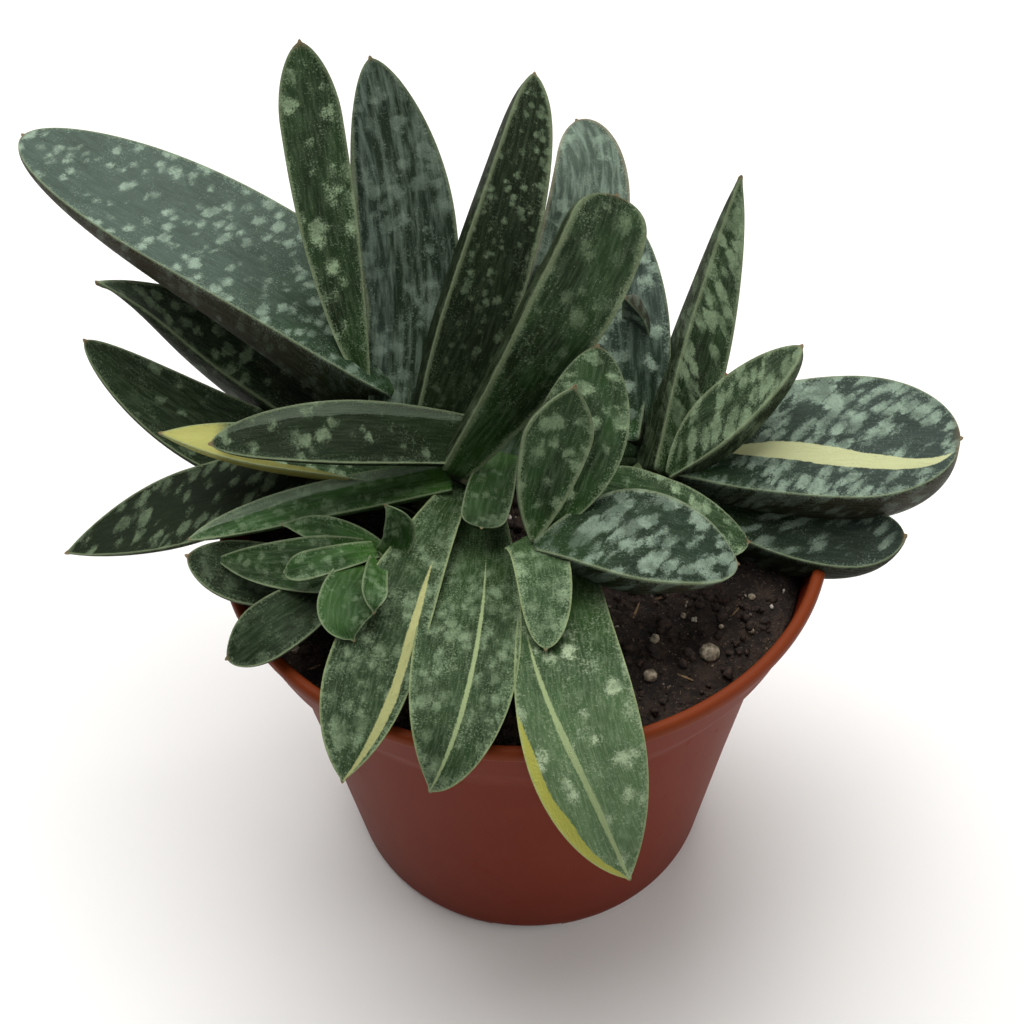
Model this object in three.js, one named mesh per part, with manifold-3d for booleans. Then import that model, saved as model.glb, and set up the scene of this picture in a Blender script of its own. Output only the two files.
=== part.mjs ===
// A potted gasteria: a clump of thick, tongue-shaped leaves on four short stems, in a nursery pot.
// Millimetres, +Z up. The origin is the middle of the pot's flat underside and -Y is the front.
import * as THREE from "three";
import Module from "manifold-3d";
import { mergeVertices } from "three/addons/utils/BufferGeometryUtils.js";

// ---- driving dimensions ----
const CLEARANCE = 0.3; // left between any two pieces that would touch

const POT = {
  height: 90,
  rimRadius: 60,
  mouthRadius: 57.6,
  lipDrop: 2.5, // height of the rounded lip
  collarFoot: 77.6, // where the upper collar turns in towards the wall
  wallTop: 69,
  baseRadius: 38.4,
  floor: 2, // thickness of the floor
  wall: 1.3,
  facets: 56,
};
const DRAIN = { count: 8, radius: 3, ring: 26 };
const NOTCH = { count: 4, width: 15, height: 1.5, depth: 6 };
const SOIL = { top: 82, swell: 0.6, looseRadius: 54, facets: 40, holeDepth: 8 };

// Each stem: where it stands, its radius, and how high its domed top reaches.
const STEMS = {
  stem_main: { at: [-15, 4], radius: 8.5, top: 99 },
  stem_right: { at: [25, 4], radius: 6.5, top: 97 },
  stem_centre: { at: [4, -18], radius: 5, top: 98 },
  stem_pup: { at: [-28, -19], radius: 3.2, top: 99 },
};

// ---- materials ----
const finish = (name, color, roughness) => {
  const made = new THREE.MeshStandardMaterial({ color, roughness, metalness: 0 });
  made.name = name;
  return made;
};
const FINISH = {
  pot: () => finish("terracotta_plastic", 0x7a3c2a, 0.5),
  soil: () => finish("potting_soil", 0x1d1512, 0.95),
  stem: () => finish("stem_green", 0x3c5534, 0.6),
  dark: () => finish("leaf_dark", 0x30482f, 0.45),
  grey: () => finish("leaf_grey", 0x4f6a5d, 0.5),
  striped: () => finish("leaf_striped", 0x5a6f45, 0.45),
};

// Leaf ends: how the half width closes from the widest place to the tip, as (1 - u^a)^b.
const ENDS = {
  square: [6, 0.5],
  round: [2.4, 0.5],
  blunt: [2, 0.62],
  point: [1.9, 0.85],
};

// ---- leaves ----
// root, mid and tip are points the leaf's middle line passes through. width and thick are its largest.
// up is where the upper face looks. base is the width at the root as a share of the width, and
// widest is how far along the leaf is broadest. cup hollows the upper face, keel sharpens the
// underside, keelAt sets the keel off centre, and taper is the share of the thickness lost between
// root and tip. The leaves in front come first in the list: a later leaf gives way where it would
// meet an earlier one.
const leaf = (root, mid, tip, width, thick, up, end, more = {}) => ({
  root, mid, tip, width, thick, up, end,
  base: 0.8, widest: 0.5, cup: 0, keel: 0.3, keelAt: 0, taper: 0.45, skin: "dark",
  ...more,
});
const LEAVES = {
  // the main plant's innermost leaves and those that lie over the others
  leaf_top_long: leaf([-13, -4.5, 104.5], [8.5, 2, 136.5], [18, 14.5, 154], 16, 7.5, [6, -10, 8],
    "square", { keel: 0.2, keelAt: -0.9, base: 0.35, widest: 0.6, taper: 0.55 }),
  leaf_left_upper: leaf([-8, 3, 106], [-33.5, -4, 116], [-57, -9, 118.5], 12.5, 8, [0, -5, 10], "blunt",
    { widest: 0.45 }),
  leaf_front_short: leaf([-4, 2, 104], [-6, -7, 104], [-8, -17, 103], 9, 4, [0, -5, 10], "square",
    { keel: 0.2, widest: 0.7 }),
  // the small plant at the front
  leaf_centre_upright: leaf([1.5, -23.5, 105.5], [4.5, -17.5, 117], [9.5, -10.5, 131], 14.5, 5, [5, -10, 3],
    "point", { cup: 0.1, base: 0.1, widest: 0.7 }),
  leaf_centre_short: leaf([0.5, -19.5, 103], [3, -31, 105], [3, -44, 99.5], 10, 4, [0, -5, 10], "round",
    { keel: 0.2, base: 1, widest: 0.5 }),
  leaf_centre_striped: leaf([1.5, -24.5, 105.5], [21.5, -23.5, 106.5], [39.5, -22, 96.5], 21.5, 9.5,
    [0, -1, 10], "blunt", { keel: 0.2, keelAt: 0.8, base: 0.1, widest: 0.55, taper: 0.65, skin: "grey" }),
  // the pup on the left
  pup_leaf_bright: leaf([-27.5, -20.5, 101.5], [-36.5, -26.5, 105], [-44, -26.5, 102.5], 5.5, 4,
    [0, -5, 10], "round", { base: 0.65, widest: 0.65 }),
  pup_leaf_folded: leaf([-27, -24, 102], [-27, -35, 107], [-27, -40, 106], 5, 3, [5, -5, 10], "point"),
  pup_leaf_up: leaf([-26, -22, 101], [-23, -21, 106], [-25, -20, 112], 6, 3, [0, -10, 4], "point"),
  pup_leaf_front: leaf([-28, -23, 101], [-32, -36, 104], [-31, -42, 101], 11, 4, [0, -5, 10], "point"),
  // the main plant's outer leaves at the front and left
  leaf_left_long: leaf([-14, -3, 103], [-41.5, -8.5, 102], [-62.5, -16, 101], 8, 5, [0, -3, 10],
    "blunt", { cup: 0.05, keel: 0.2, base: 0.8, widest: 0.3 }),
  leaf_front_left: leaf([-12, -2, 100], [-25.5, -39, 100], [-33, -63, 88], 15.5, 5, [1, -5, 10],
    "point", { base: 0.3, widest: 0.65, skin: "striped" }),
  // the main plant's upright leaves
  leaf_back_upright: leaf([-17.5, 4.5, 103.5], [-1, 31, 138.5], [4.5, 55, 154.5], 15, 5.5, [5, -10, 5],
    "blunt", { cup: 0.05, keelAt: -0.9, base: 0.6, widest: 0.25, taper: 0.1 }),
  leaf_left_upright: leaf([-29.5, 12, 112.5], [-34.5, 25.5, 131], [-40, 53, 164], 12, 6, [1, -10, 3],
    "blunt", { cup: 0.1, base: 0.1, widest: 0.85 }),
  leaf_grey_upright: leaf([-22, 5, 103], [-20.5, 29, 128], [-27, 54, 159.5], 19.5, 7, [0, -10, 6],
    "blunt", { base: 0.85, widest: 0.6, skin: "grey" }),
  // the right-hand plant
  leaf_right_banded: leaf([28, -0.5, 99], [38, 5, 109.5], [54, 14, 118.5], 13.5, 5.5, [-5, -1, 10],
    "blunt", { keel: 0.2, keelAt: 0.85, base: 0.15, widest: 0.55, taper: 0.3 }),
  leaf_right_upright: leaf([29, 1.5, 96.5], [38.5, 25.5, 115], [44.5, 43.5, 137], 11, 9.5, [5, -10, 5],
    "point", { keelAt: -0.85, base: 0.75, widest: 0.3, taper: 0.6 }),
  leaf_right_broad: leaf([28.5, 3.5, 100.5], [51, 5.5, 102.5], [84.5, 2, 104.5], 31, 9.5, [-1, -1, 10],
    "round", { keel: 0.2, keelAt: 0.85, base: 0.35, widest: 0.7, taper: 0, skin: "striped" }),
  leaf_centre_back: leaf([2, -21.5, 104.5], [10, -12, 118.5], [14, 0, 131.5], 17, 6, [0, -10, 4],
    "blunt", { cup: 0.05, base: 0.15 }),
  leaf_centre_low: leaf([10, -8, 102], [21, -15.5, 105.5], [42.5, -14.5, 94.5], 16.5, 6, [0, -2, 10],
    "blunt", { keel: 0.2, base: 1, widest: 0.7 }),
  leaf_back_slim: leaf([22, 9.5, 99.5], [23.5, 25, 111.5], [20, 17.5, 128.5], 6, 6, [-6, -10, 6],
    "point", { keel: 0.4, base: 0.4, skin: "grey" }),
  // lower leaves
  leaf_front_middle: leaf([-9, -7, 95], [-12, -51, 98], [-18, -64, 85.5], 19, 5, [0, -5, 10], "point",
    { keel: 0.2, base: 0.6, widest: 0.35 }),
  leaf_front_right: leaf([6.5, -22, 96], [8.5, -59.5, 95.5], [16.5, -74.5, 72.5], 21, 6, [0, -6, 10],
    "point", { base: 0.65, widest: 0.55, skin: "striped" }),
  leaf_left_yellow: leaf([-16, 2.5, 99.5], [-44, 2.5, 106], [-68.5, 2, 111.5], 12.5, 6, [0, 0, 10],
    "point", { base: 1, widest: 0.5, skin: "striped" }),
  leaf_back_left: leaf([-22, 11, 106.5], [-36, 29, 120], [-99, 62, 139.5], 34, 18.5, [4.5, -1, 10],
    "round", { cup: 0.05, keel: 0.2, keelAt: -0.85, base: 0.15, widest: 0.7, taper: 0.85, skin: "grey" }),
  leaf_back_grey: leaf([22, 10, 94], [22.5, 22.5, 112.5], [21.5, 41, 130], 15, 6, [1, -10, 6], "round",
    { keel: 0.2, widest: 0.45, skin: "grey" }),
  leaf_back_round: leaf([-8.5, 9, 94], [12.5, 36.5, 125.5], [13, 61.5, 139.5], 17, 7, [2, -10, 6],
    "round", { keel: 0.2, skin: "grey" }),
  leaf_left_high: leaf([-20.5, 6, 96], [-55.5, 34, 105], [-81.5, 28.5, 127.5], 18, 16, [1, -1, 10],
    "point", { cup: 0.05, keelAt: -0.7, base: 0.75, widest: 0.45, taper: 0.95 }),
  leaf_left_middle: leaf([-21, 8, 93], [-54.5, 13.5, 97], [-86, 26.5, 114.5], 20.5, 7, [1, -1, 10],
    "blunt", { cup: 0.05, widest: 0.4 }),
  leaf_left_low: leaf([-20.5, 6.5, 91.5], [-44.5, 2, 99], [-88.5, -9.5, 91.5], 18, 7, [0, -1, 10],
    "point", { cup: 0.05, base: 0.9, widest: 0.75 }),
  pup_leaf_thin: leaf([-28, -17, 97], [-36, -15, 100.5], [-45, -14, 102], 6, 3, [0, -5, 10], "point"),
  pup_leaf_left: leaf([-28, -18.5, 96.5], [-42.5, -23, 100.5], [-58, -18, 97.5], 11, 4, [0, -5, 10],
    "point", { widest: 0.35 }),
  pup_leaf_side: leaf([-30, -17, 92.5], [-47, -20, 94.5], [-63, -19, 99.5], 13.5, 5, [0, -3, 10],
    "blunt", { base: 0.7, widest: 0.6 }),
  pup_leaf_low: leaf([-31.5, -16, 91.5], [-42.5, -31.5, 97], [-55, -37.5, 91.5], 11.5, 5, [0, -3, 10],
    "blunt", { base: 0.35, widest: 0.7 }),
  leaf_right_low: leaf([30, 1.5, 92], [56.5, -11, 92.5], [71.5, -16.5, 97], 15, 13, [-1, -1, 10],
    "blunt", { cup: 0.05, keelAt: 0.8, base: 0.4, widest: 0.6, taper: 0.95, skin: "grey" }),
  // leaves at the rear
  leaf_rear_left: leaf([-18, 11, 90], [-30, 38, 101], [-34, 60, 107], 17, 6, [0, -3, 10], "blunt"),
  leaf_rear_middle: leaf([-11, 12, 90], [-7, 40, 100], [-5, 62, 104], 17, 6, [0, -3, 10], "blunt"),
  leaf_rear_right: leaf([24, 10, 89], [24, 38, 97], [23, 56, 99], 16, 6, [0, -3, 10], "blunt"),
  leaf_rear_low_right: leaf([30, 7, 88], [46, 20, 94], [58, 28, 95], 14, 5, [0, -1, 10], "blunt"),
  leaf_rear_low_left: leaf([-21, 9, 89], [-42, 30, 97], [-58, 44, 101], 15, 6, [0, -1, 10], "blunt"),
};

// ---- solids ----
const wasm = await Module();
wasm.setup();
const { Manifold, Mesh } = wasm;

// A closed geometry as a solid for cutting, turned inside out first if its faces point inwards.
function solidFrom(geometry) {
  const plain = geometry.clone();
  plain.deleteAttribute("normal");
  plain.deleteAttribute("uv");
  const merged = mergeVertices(plain, 1e-4);
  const vertProperties = new Float32Array(merged.attributes.position.array);
  const triVerts = new Uint32Array(merged.index.array);
  const made = new Manifold(new Mesh({ numProp: 3, vertProperties, triVerts }));
  if (made.volume() > 0) return made;
  for (let i = 0; i < triVerts.length; i += 3) {
    [triVerts[i + 1], triVerts[i + 2]] = [triVerts[i + 2], triVerts[i + 1]];
  }
  return new Manifold(new Mesh({ numProp: 3, vertProperties, triVerts }));
}

// A body turned about the upright axis at "at", from an outline of [radius, height] points that
// runs from the axis back to the axis.
function turnedGeometry(outline, facets, at = [0, 0]) {
  const points = outline.map(([radius, height]) => new THREE.Vector2(radius, height));
  const geometry = new THREE.LatheGeometry(points, facets);
  geometry.rotateX(Math.PI / 2);
  geometry.translate(at[0], at[1], 0);
  return geometry;
}

const turned = (outline, facets, at) => solidFrom(turnedGeometry(outline, facets, at));

function rod(radius, bottom, top, at, facets) {
  return turned([[0, bottom], [radius, bottom], [radius, top], [0, top]], facets, at);
}

function largestBody(solid) {
  const bodies = solid.decompose();
  return bodies.reduce((best, body) => (body.volume() > best.volume() ? body : best));
}

// ---- the leaf ----
const RINGS = 10;
const TOP_PLACES = [1, 0.45, -0.45, -1];
const UNDER_SHARES = [-0.92, -0.55, 0, 0.55, 0.92]; // of the way from the keel to either margin

// Half width along the leaf, as a share of the greatest.
function breadth(t, spec) {
  if (t < spec.widest) {
    return spec.base + (1 - spec.base) * Math.sin((Math.PI / 2) * (t / spec.widest));
  }
  const [a, b] = ENDS[spec.end];
  const past = (t - spec.widest) / (1 - spec.widest);
  return Math.pow(Math.max(0, 1 - Math.pow(past, a)), b);
}

// Depth of the underside at place s across the leaf, as a share of the thickness: a full curve
// mixed with a ridge, both deepest at the keel.
function belly(s, spec) {
  const fromKeel = Math.abs(s - spec.keelAt) / (s > spec.keelAt ? 1 - spec.keelAt : 1 + spec.keelAt);
  const round = Math.pow(Math.max(0, 1 - Math.pow(fromKeel, 2.4)), 1 / 2.4);
  return round * (1 - spec.keel) + (1 - fromKeel) * spec.keel;
}

// A leaf as rings of points from root to tip, each ring the upper face's places and then the
// underside's. grow swells it on every side, to cut the room that it needs in its neighbours.
function leafSolid(spec, grow) {
  const root = new THREE.Vector3(...spec.root);
  const mid = new THREE.Vector3(...spec.mid);
  const tip = new THREE.Vector3(...spec.tip);
  const control = mid.clone().multiplyScalar(2).addScaledVector(root, -0.5).addScaledVector(tip, -0.5);
  const spine = new THREE.QuadraticBezierCurve3(root, control, tip);
  const up = new THREE.Vector3(...spec.up).normalize();
  const keel = spec.keelAt;
  const underPlaces = UNDER_SHARES.map((share) => keel + share * (share < 0 ? 1 + keel : 1 - keel));
  const ringSize = TOP_PLACES.length + underPlaces.length;

  const position = [];
  for (let i = 0; i < RINGS; i += 1) {
    const t = 1 - Math.pow(1 - i / RINGS, 1.6);
    const along = spine.getTangent(t).normalize();
    const centre = spine.getPoint(t);
    if (i === 0) centre.addScaledVector(along, -grow);
    const normal = up.clone().addScaledVector(along, -up.dot(along)).normalize();
    const side = along.clone().cross(normal);
    const share = breadth(t, spec);
    const half = (spec.width / 2) * share;
    const thick = spec.thick * (1 - spec.taper * t) * Math.pow(share, 0.6) + grow;
    const put = (place, height) => {
      const point = centre.clone().addScaledVector(side, place * (half + grow));
      position.push(...point.addScaledVector(normal, height).toArray());
    };
    const hollow = (place) => spec.cup * half * (1 - place * place);
    for (const place of TOP_PLACES) put(place, grow - hollow(place));
    for (const place of underPlaces) put(place, -belly(place, spec) * thick - 0.5 * hollow(place));
  }
  const middleOfRoot = spine.getPoint(0).addScaledVector(spine.getTangent(0).normalize(), -grow);
  middleOfRoot.addScaledVector(up, -0.4 * spec.thick);
  const end = spine.getPoint(1).addScaledVector(spine.getTangent(1).normalize(), 1.5 * grow);
  position.push(...middleOfRoot.toArray(), ...end.toArray());
  const rootPoint = RINGS * ringSize;
  const tipPoint = rootPoint + 1;

  const faces = [];
  for (let j = 0; j < ringSize; j += 1) {
    const next = (j + 1) % ringSize;
    faces.push(next, j, rootPoint);
    for (let ring = 0; ring < RINGS - 1; ring += 1) {
      const start = ring * ringSize;
      faces.push(start + j, start + next, start + ringSize + j);
      faces.push(start + next, start + ringSize + next, start + ringSize + j);
    }
    const last = (RINGS - 1) * ringSize;
    faces.push(last + j, last + next, tipPoint);
  }
  const geometry = new THREE.BufferGeometry();
  geometry.setAttribute("position", new THREE.Float32BufferAttribute(position, 3));
  geometry.setIndex(faces);
  return solidFrom(geometry);
}

// ---- pot ----
// Outer line of the pot from the floor's edge up to the lip, as [radius, height].
const OUTER = [
  [POT.baseRadius, 0], [39.4, 2], [44.9, 35], [51, POT.wallTop], [56.2, POT.collarFoot],
  [58.6, 87], [POT.rimRadius, POT.height - POT.lipDrop], [POT.rimRadius, 89.3], [59.4, POT.height],
];
const INNER = [
  [58.2, POT.height], [POT.mouthRadius, 89.3], [57.1, 86], [54.9, POT.collarFoot],
  [51 - POT.wall, POT.wallTop], [44.9 - POT.wall, 35], [39.3 - POT.wall, POT.floor + 1], [36, POT.floor],
];

function potSolid() {
  let made = turned([[0, 0], ...OUTER, ...INNER, [0, POT.floor]], POT.facets);
  for (let i = 0; i < DRAIN.count; i += 1) {
    const angle = ((i + 0.5) * 2 * Math.PI) / DRAIN.count;
    const at = [DRAIN.ring * Math.cos(angle), DRAIN.ring * Math.sin(angle)];
    made = made.subtract(rod(DRAIN.radius, -1, POT.floor + 1, at, 14));
  }
  for (let i = 0; i < NOTCH.count; i += 1) {
    const notch = new THREE.BoxGeometry(NOTCH.depth, NOTCH.width, 2 * NOTCH.height);
    notch.translate(POT.baseRadius, 0, 0);
    notch.rotateZ(-Math.PI / 2 - 0.04 + (i * 2 * Math.PI) / NOTCH.count);
    made = made.subtract(solidFrom(notch));
  }
  return made;
}

// The room the pot takes, with the clearance added: leaves that lean on the rim stop short of it.
function potRoom() {
  const outside = OUTER.map(([r, z]) => [r + CLEARANCE, z]);
  return turned([
    [0, 60], [50, 60], ...outside.slice(3, -1),
    [59.5, POT.height + CLEARANCE], [58.1, POT.height + CLEARANCE],
    [POT.mouthRadius - CLEARANCE, 89.4], [56.8, 86], [55, SOIL.top], [0, SOIL.top],
  ], POT.facets);
}

// ---- soil ----
function soilSolid() {
  const inside = INNER.slice(3, 7).reverse().map(([r, z]) => [r - CLEARANCE, z]);
  const floor = POT.floor + CLEARANCE;
  const outline = [
    [0, floor], [36 - CLEARANCE, floor], ...inside,
    [55.4, SOIL.top - 1], [54.4, SOIL.top - 0.3], [46, SOIL.top - 0.6], [34, SOIL.top + 0.4],
    [20, SOIL.top + 0.2], [8, SOIL.top + 0.8], [0, SOIL.top + 0.8],
  ];
  const geometry = turnedGeometry(outline, SOIL.facets);
  // the surface dips and swells a little, as loose soil does
  const spots = geometry.attributes.position;
  for (let i = 0; i < spots.count; i += 1) {
    const [x, y, z] = [spots.getX(i), spots.getY(i), spots.getZ(i)];
    const radius = Math.hypot(x, y);
    if (z > SOIL.top - 2 && radius < SOIL.looseRadius) {
      const swell = Math.sin(x * 0.21 + 1) * Math.cos(y * 0.17 - 0.5);
      spots.setZ(i, z + SOIL.swell * swell * (1 - radius / POT.rimRadius));
    }
  }
  let made = solidFrom(geometry);
  const holeFoot = SOIL.top - SOIL.holeDepth - CLEARANCE;
  for (const stem of Object.values(STEMS)) {
    made = made.subtract(rod(stem.radius + CLEARANCE, holeFoot, SOIL.top + 6, stem.at, 18));
  }
  return made;
}

// ---- stems ----
function stemSolid(stem, grow) {
  const r = stem.radius + grow;
  const top = stem.top + grow;
  return turned([
    [0, SOIL.top - SOIL.holeDepth - grow], [r, SOIL.top - SOIL.holeDepth - grow],
    [r, top - 8], [r * 0.85, top - 4], [r * 0.5, top - 1], [0, top],
  ], 18, stem.at);
}

// ---- assembly ----
const group = new THREE.Group();
group.name = "gasteria";

function add(name, solid, material) {
  const mesh = solid.getMesh();
  const geometry = new THREE.BufferGeometry();
  geometry.setAttribute("position", new THREE.BufferAttribute(mesh.vertProperties.slice(), 3));
  geometry.setIndex(new THREE.BufferAttribute(mesh.triVerts.slice(), 1));
  geometry.computeVertexNormals();
  const piece = new THREE.Mesh(geometry, material);
  piece.name = name;
  group.add(piece);
}

add("pot", potSolid(), FINISH.pot());
add("soil", soilSolid(), FINISH.soil());
const standing = [];
for (const [name, stem] of Object.entries(STEMS)) {
  add(name, stemSolid(stem, 0), FINISH.stem());
  standing.push(stemSolid(stem, CLEARANCE));
}

const room = potRoom();
const overlaps = (a, b) => {
  const [p, q] = [a.boundingBox(), b.boundingBox()];
  return [0, 1, 2].every((k) => p.min[k] < q.max[k] && q.min[k] < p.max[k]);
};
for (const [name, spec] of Object.entries(LEAVES)) {
  let solid = leafSolid(spec, 0);
  for (const other of [room, ...standing]) {
    if (overlaps(solid, other)) solid = solid.subtract(other);
  }
  add(name, largestBody(solid).simplify(0.05), FINISH[spec.skin]());
  standing.push(leafSolid(spec, CLEARANCE));
}

export default group;
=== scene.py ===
import bpy
import math
import random
import numpy as np
from mathutils import Matrix, Vector


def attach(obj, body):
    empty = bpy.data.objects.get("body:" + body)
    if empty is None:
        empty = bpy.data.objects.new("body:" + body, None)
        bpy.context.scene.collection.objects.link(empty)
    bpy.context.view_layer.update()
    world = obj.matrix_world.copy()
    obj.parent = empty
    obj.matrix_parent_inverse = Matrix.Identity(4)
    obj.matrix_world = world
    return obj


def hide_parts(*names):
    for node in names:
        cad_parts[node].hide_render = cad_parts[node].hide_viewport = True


# A potted gasteria: fine leaves, stems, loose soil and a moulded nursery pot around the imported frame.
# Sizes in this script are millimetres unless a name says otherwise; meshes are written in metres.
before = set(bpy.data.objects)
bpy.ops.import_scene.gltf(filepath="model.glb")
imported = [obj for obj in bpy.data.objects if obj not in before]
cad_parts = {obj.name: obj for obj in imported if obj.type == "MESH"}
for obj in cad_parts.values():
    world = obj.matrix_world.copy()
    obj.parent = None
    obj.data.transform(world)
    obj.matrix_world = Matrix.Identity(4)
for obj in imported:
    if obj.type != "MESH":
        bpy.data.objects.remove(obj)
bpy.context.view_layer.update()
MM = 0.001
BODY = "root"


def paint(red, green, blue):
    """A colour as a maker mixes it, 0 to 255 a channel, turned into the linear values a shader takes."""
    linear = []
    for channel in (red, green, blue):
        share = channel / 255
        linear.append(share / 12.92 if share <= 0.04045 else ((share + 0.055) / 1.055) ** 2.4)
    return (*linear, 1.0)


# ---- node words ----
def fill(tree, node, sockets):
    """Gives each named socket of a node its number, or its link from another node."""
    for key, value in sockets.items():
        if isinstance(value, bpy.types.NodeSocket):
            tree.links.new(value, node.inputs[key])
        else:
            node.inputs[key].default_value = value
    return node


def put(tree, kind, sockets=None, **settings):
    """Places a node with its own settings, and fills its sockets."""
    node = tree.nodes.new(kind)
    for key, value in settings.items():
        setattr(node, key, value)
    return fill(tree, node, sockets or {})


def sums(tree, operation, *values):
    return put(tree, "ShaderNodeMath", dict(enumerate(values)), operation=operation).outputs[0]


def ramp(tree, value, low, high, to_low=0.0, to_high=1.0):
    """A smooth step: to_low up to low, to_high from high on."""
    sockets = {"Value": value, "From Min": low, "From Max": high, "To Min": to_low, "To Max": to_high}
    made = put(tree, "ShaderNodeMapRange", sockets, interpolation_type="SMOOTHSTEP")
    return made.outputs["Result"]


def mix(tree, share, first, second):
    """Colour first turning into colour second as share goes from 0 to 1."""
    return put(tree, "ShaderNodeMix", {0: share, 6: first, 7: second}, data_type="RGBA").outputs[2]


def stretched(tree, vector, across, along, layer=1.0):
    """The vector with its three parts multiplied."""
    factors = put(tree, "ShaderNodeCombineXYZ", {0: across, 1: along, 2: layer}).outputs[0]
    sockets = {0: vector, 1: factors}
    return put(tree, "ShaderNodeVectorMath", sockets, operation="MULTIPLY").outputs[0]


def spun(tree, vector, angle):
    """The vector turned about its third part."""
    return put(tree, "ShaderNodeVectorRotate", {"Vector": vector, "Angle": angle}).outputs[0]


def noise(tree, vector, scale, detail=2.0, roughness=0.5):
    sockets = {"Vector": vector, "Scale": scale, "Detail": detail, "Roughness": roughness}
    return put(tree, "ShaderNodeTexNoise", sockets).outputs[0]


SOCKET_KINDS = {float: "NodeSocketFloat", tuple: "NodeSocketVector"}


def new_effect(name, takes, gives):
    """An empty node group with named sockets: its tree, what comes in, and where its results go."""
    tree = bpy.data.node_groups.new(name, "ShaderNodeTree")
    for label, start in takes.items():
        kind = SOCKET_KINDS[type(start)]
        tree.interface.new_socket(name=label, in_out="INPUT", socket_type=kind).default_value = start
    for label, kind in gives.items():
        tree.interface.new_socket(name=label, in_out="OUTPUT", socket_type=kind)
    return tree, tree.nodes.new("NodeGroupInput").outputs, tree.nodes.new("NodeGroupOutput").inputs


MASK = {"Mask": "NodeSocketFloat"}


def use(tree, effect, sockets, gives="Mask"):
    """Places a shared effect; gives one of its results, or all of them where gives is None."""
    node = put(tree, "ShaderNodeGroup", node_tree=effect)
    fill(tree, node, sockets)
    return node.outputs[gives] if gives else node.outputs


def new_material(name):
    material = bpy.data.materials.new(name)
    material.use_nodes = True
    return material, material.node_tree, material.node_tree.nodes["Principled BSDF"]


def finish_skin(tree, shader, colour, roughness, relief, strength, depth):
    """Joins colour, roughness and relief to the shader; depth is the relief's full height in metres."""
    tree.links.new(colour, shader.inputs["Base Color"])
    tree.links.new(roughness, shader.inputs["Roughness"])
    bump = put(tree, "ShaderNodeBump", {"Strength": strength, "Distance": depth, "Height": relief})
    tree.links.new(bump.outputs["Normal"], shader.inputs["Normal"])


# ---- camera and light ----
CAMERA = {
    "distance": 356,
    "elevation": 45.1,
    "aim": (-2.3, 0, 89.6),
    "roll": -1.6,
    "focal_pixels": 1800,
}
IMAGE_PIXELS = 1024
SENSOR_WIDTH = 36.0


def set_camera():
    tilt = math.radians(CAMERA["elevation"])
    roll = math.radians(CAMERA["roll"])
    forward = Vector((0, math.cos(tilt), -math.sin(tilt)))
    level = Vector((1, 0, 0))
    upright = level.cross(forward)
    right = math.cos(roll) * level + math.sin(roll) * upright
    top = math.cos(roll) * upright - math.sin(roll) * level
    place = (Vector(CAMERA["aim"]) - CAMERA["distance"] * forward) * MM
    data = bpy.data.cameras.new("studio_camera")
    data.sensor_width = SENSOR_WIDTH
    data.lens = CAMERA["focal_pixels"] / IMAGE_PIXELS * SENSOR_WIDTH
    data.clip_start = 0.01
    camera = bpy.data.objects.new("studio_camera", data)
    camera.matrix_world = Matrix.Translation(place) @ Matrix((right, top, -forward)).transposed().to_4x4()
    bpy.context.scene.collection.objects.link(camera)
    bpy.context.scene.camera = camera


# Softboxes: where each stands in metres, its side length in metres, its power in watts, its colour.
SOFTBOXES = {
    "overhead_softbox": ((-0.1, 0.35, 1.05), 1.2, 19.0, (1.0, 0.99, 0.97)),
    "right_softbox": ((0.9, -0.25, 0.5), 0.6, 2.3, (1.0, 0.97, 0.93)),
    "front_softbox": ((0.3, -0.95, 0.85), 0.7, 2.6, (1.0, 0.99, 0.97)),
}
LIGHT_AIM = (0.0, 0.0, 0.09)
# The room: the heights, as parts of the sky, between which its light fades from glow to ceiling.
ROOM = {"low": 0.02, "high": 0.45, "glow": 0.3, "ceiling": 0.08, "view": "Standard"}


def set_lights():
    for name, (place, side, power, colour) in SOFTBOXES.items():
        data = bpy.data.lights.new(name, "AREA")
        data.shape = "SQUARE"
        data.size = side
        data.energy = power
        data.color = colour
        light = bpy.data.objects.new(name, data)
        light.location = place
        light.rotation_mode = "QUATERNION"
        light.rotation_quaternion = (Vector(LIGHT_AIM) - Vector(place)).to_track_quat("-Z", "Y")
        bpy.context.scene.collection.objects.link(light)


def set_room():
    """A pale glow from the horizon that fades towards the ceiling."""
    world = bpy.data.worlds.new("studio_room")
    world.use_nodes = True
    tree = world.node_tree
    direction = put(tree, "ShaderNodeTexCoord").outputs["Generated"]
    height = put(tree, "ShaderNodeSeparateXYZ", {0: direction}).outputs["Z"]
    sockets = {
        "Value": height, "From Min": ROOM["low"], "From Max": ROOM["high"],
        "To Min": ROOM["glow"], "To Max": ROOM["ceiling"],
    }
    shade = put(tree, "ShaderNodeMapRange", sockets).outputs["Result"]
    tree.links.new(shade, tree.nodes["Background"].inputs["Color"])
    bpy.context.scene.world = world
    bpy.context.scene.view_settings.view_transform = ROOM["view"]


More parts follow.
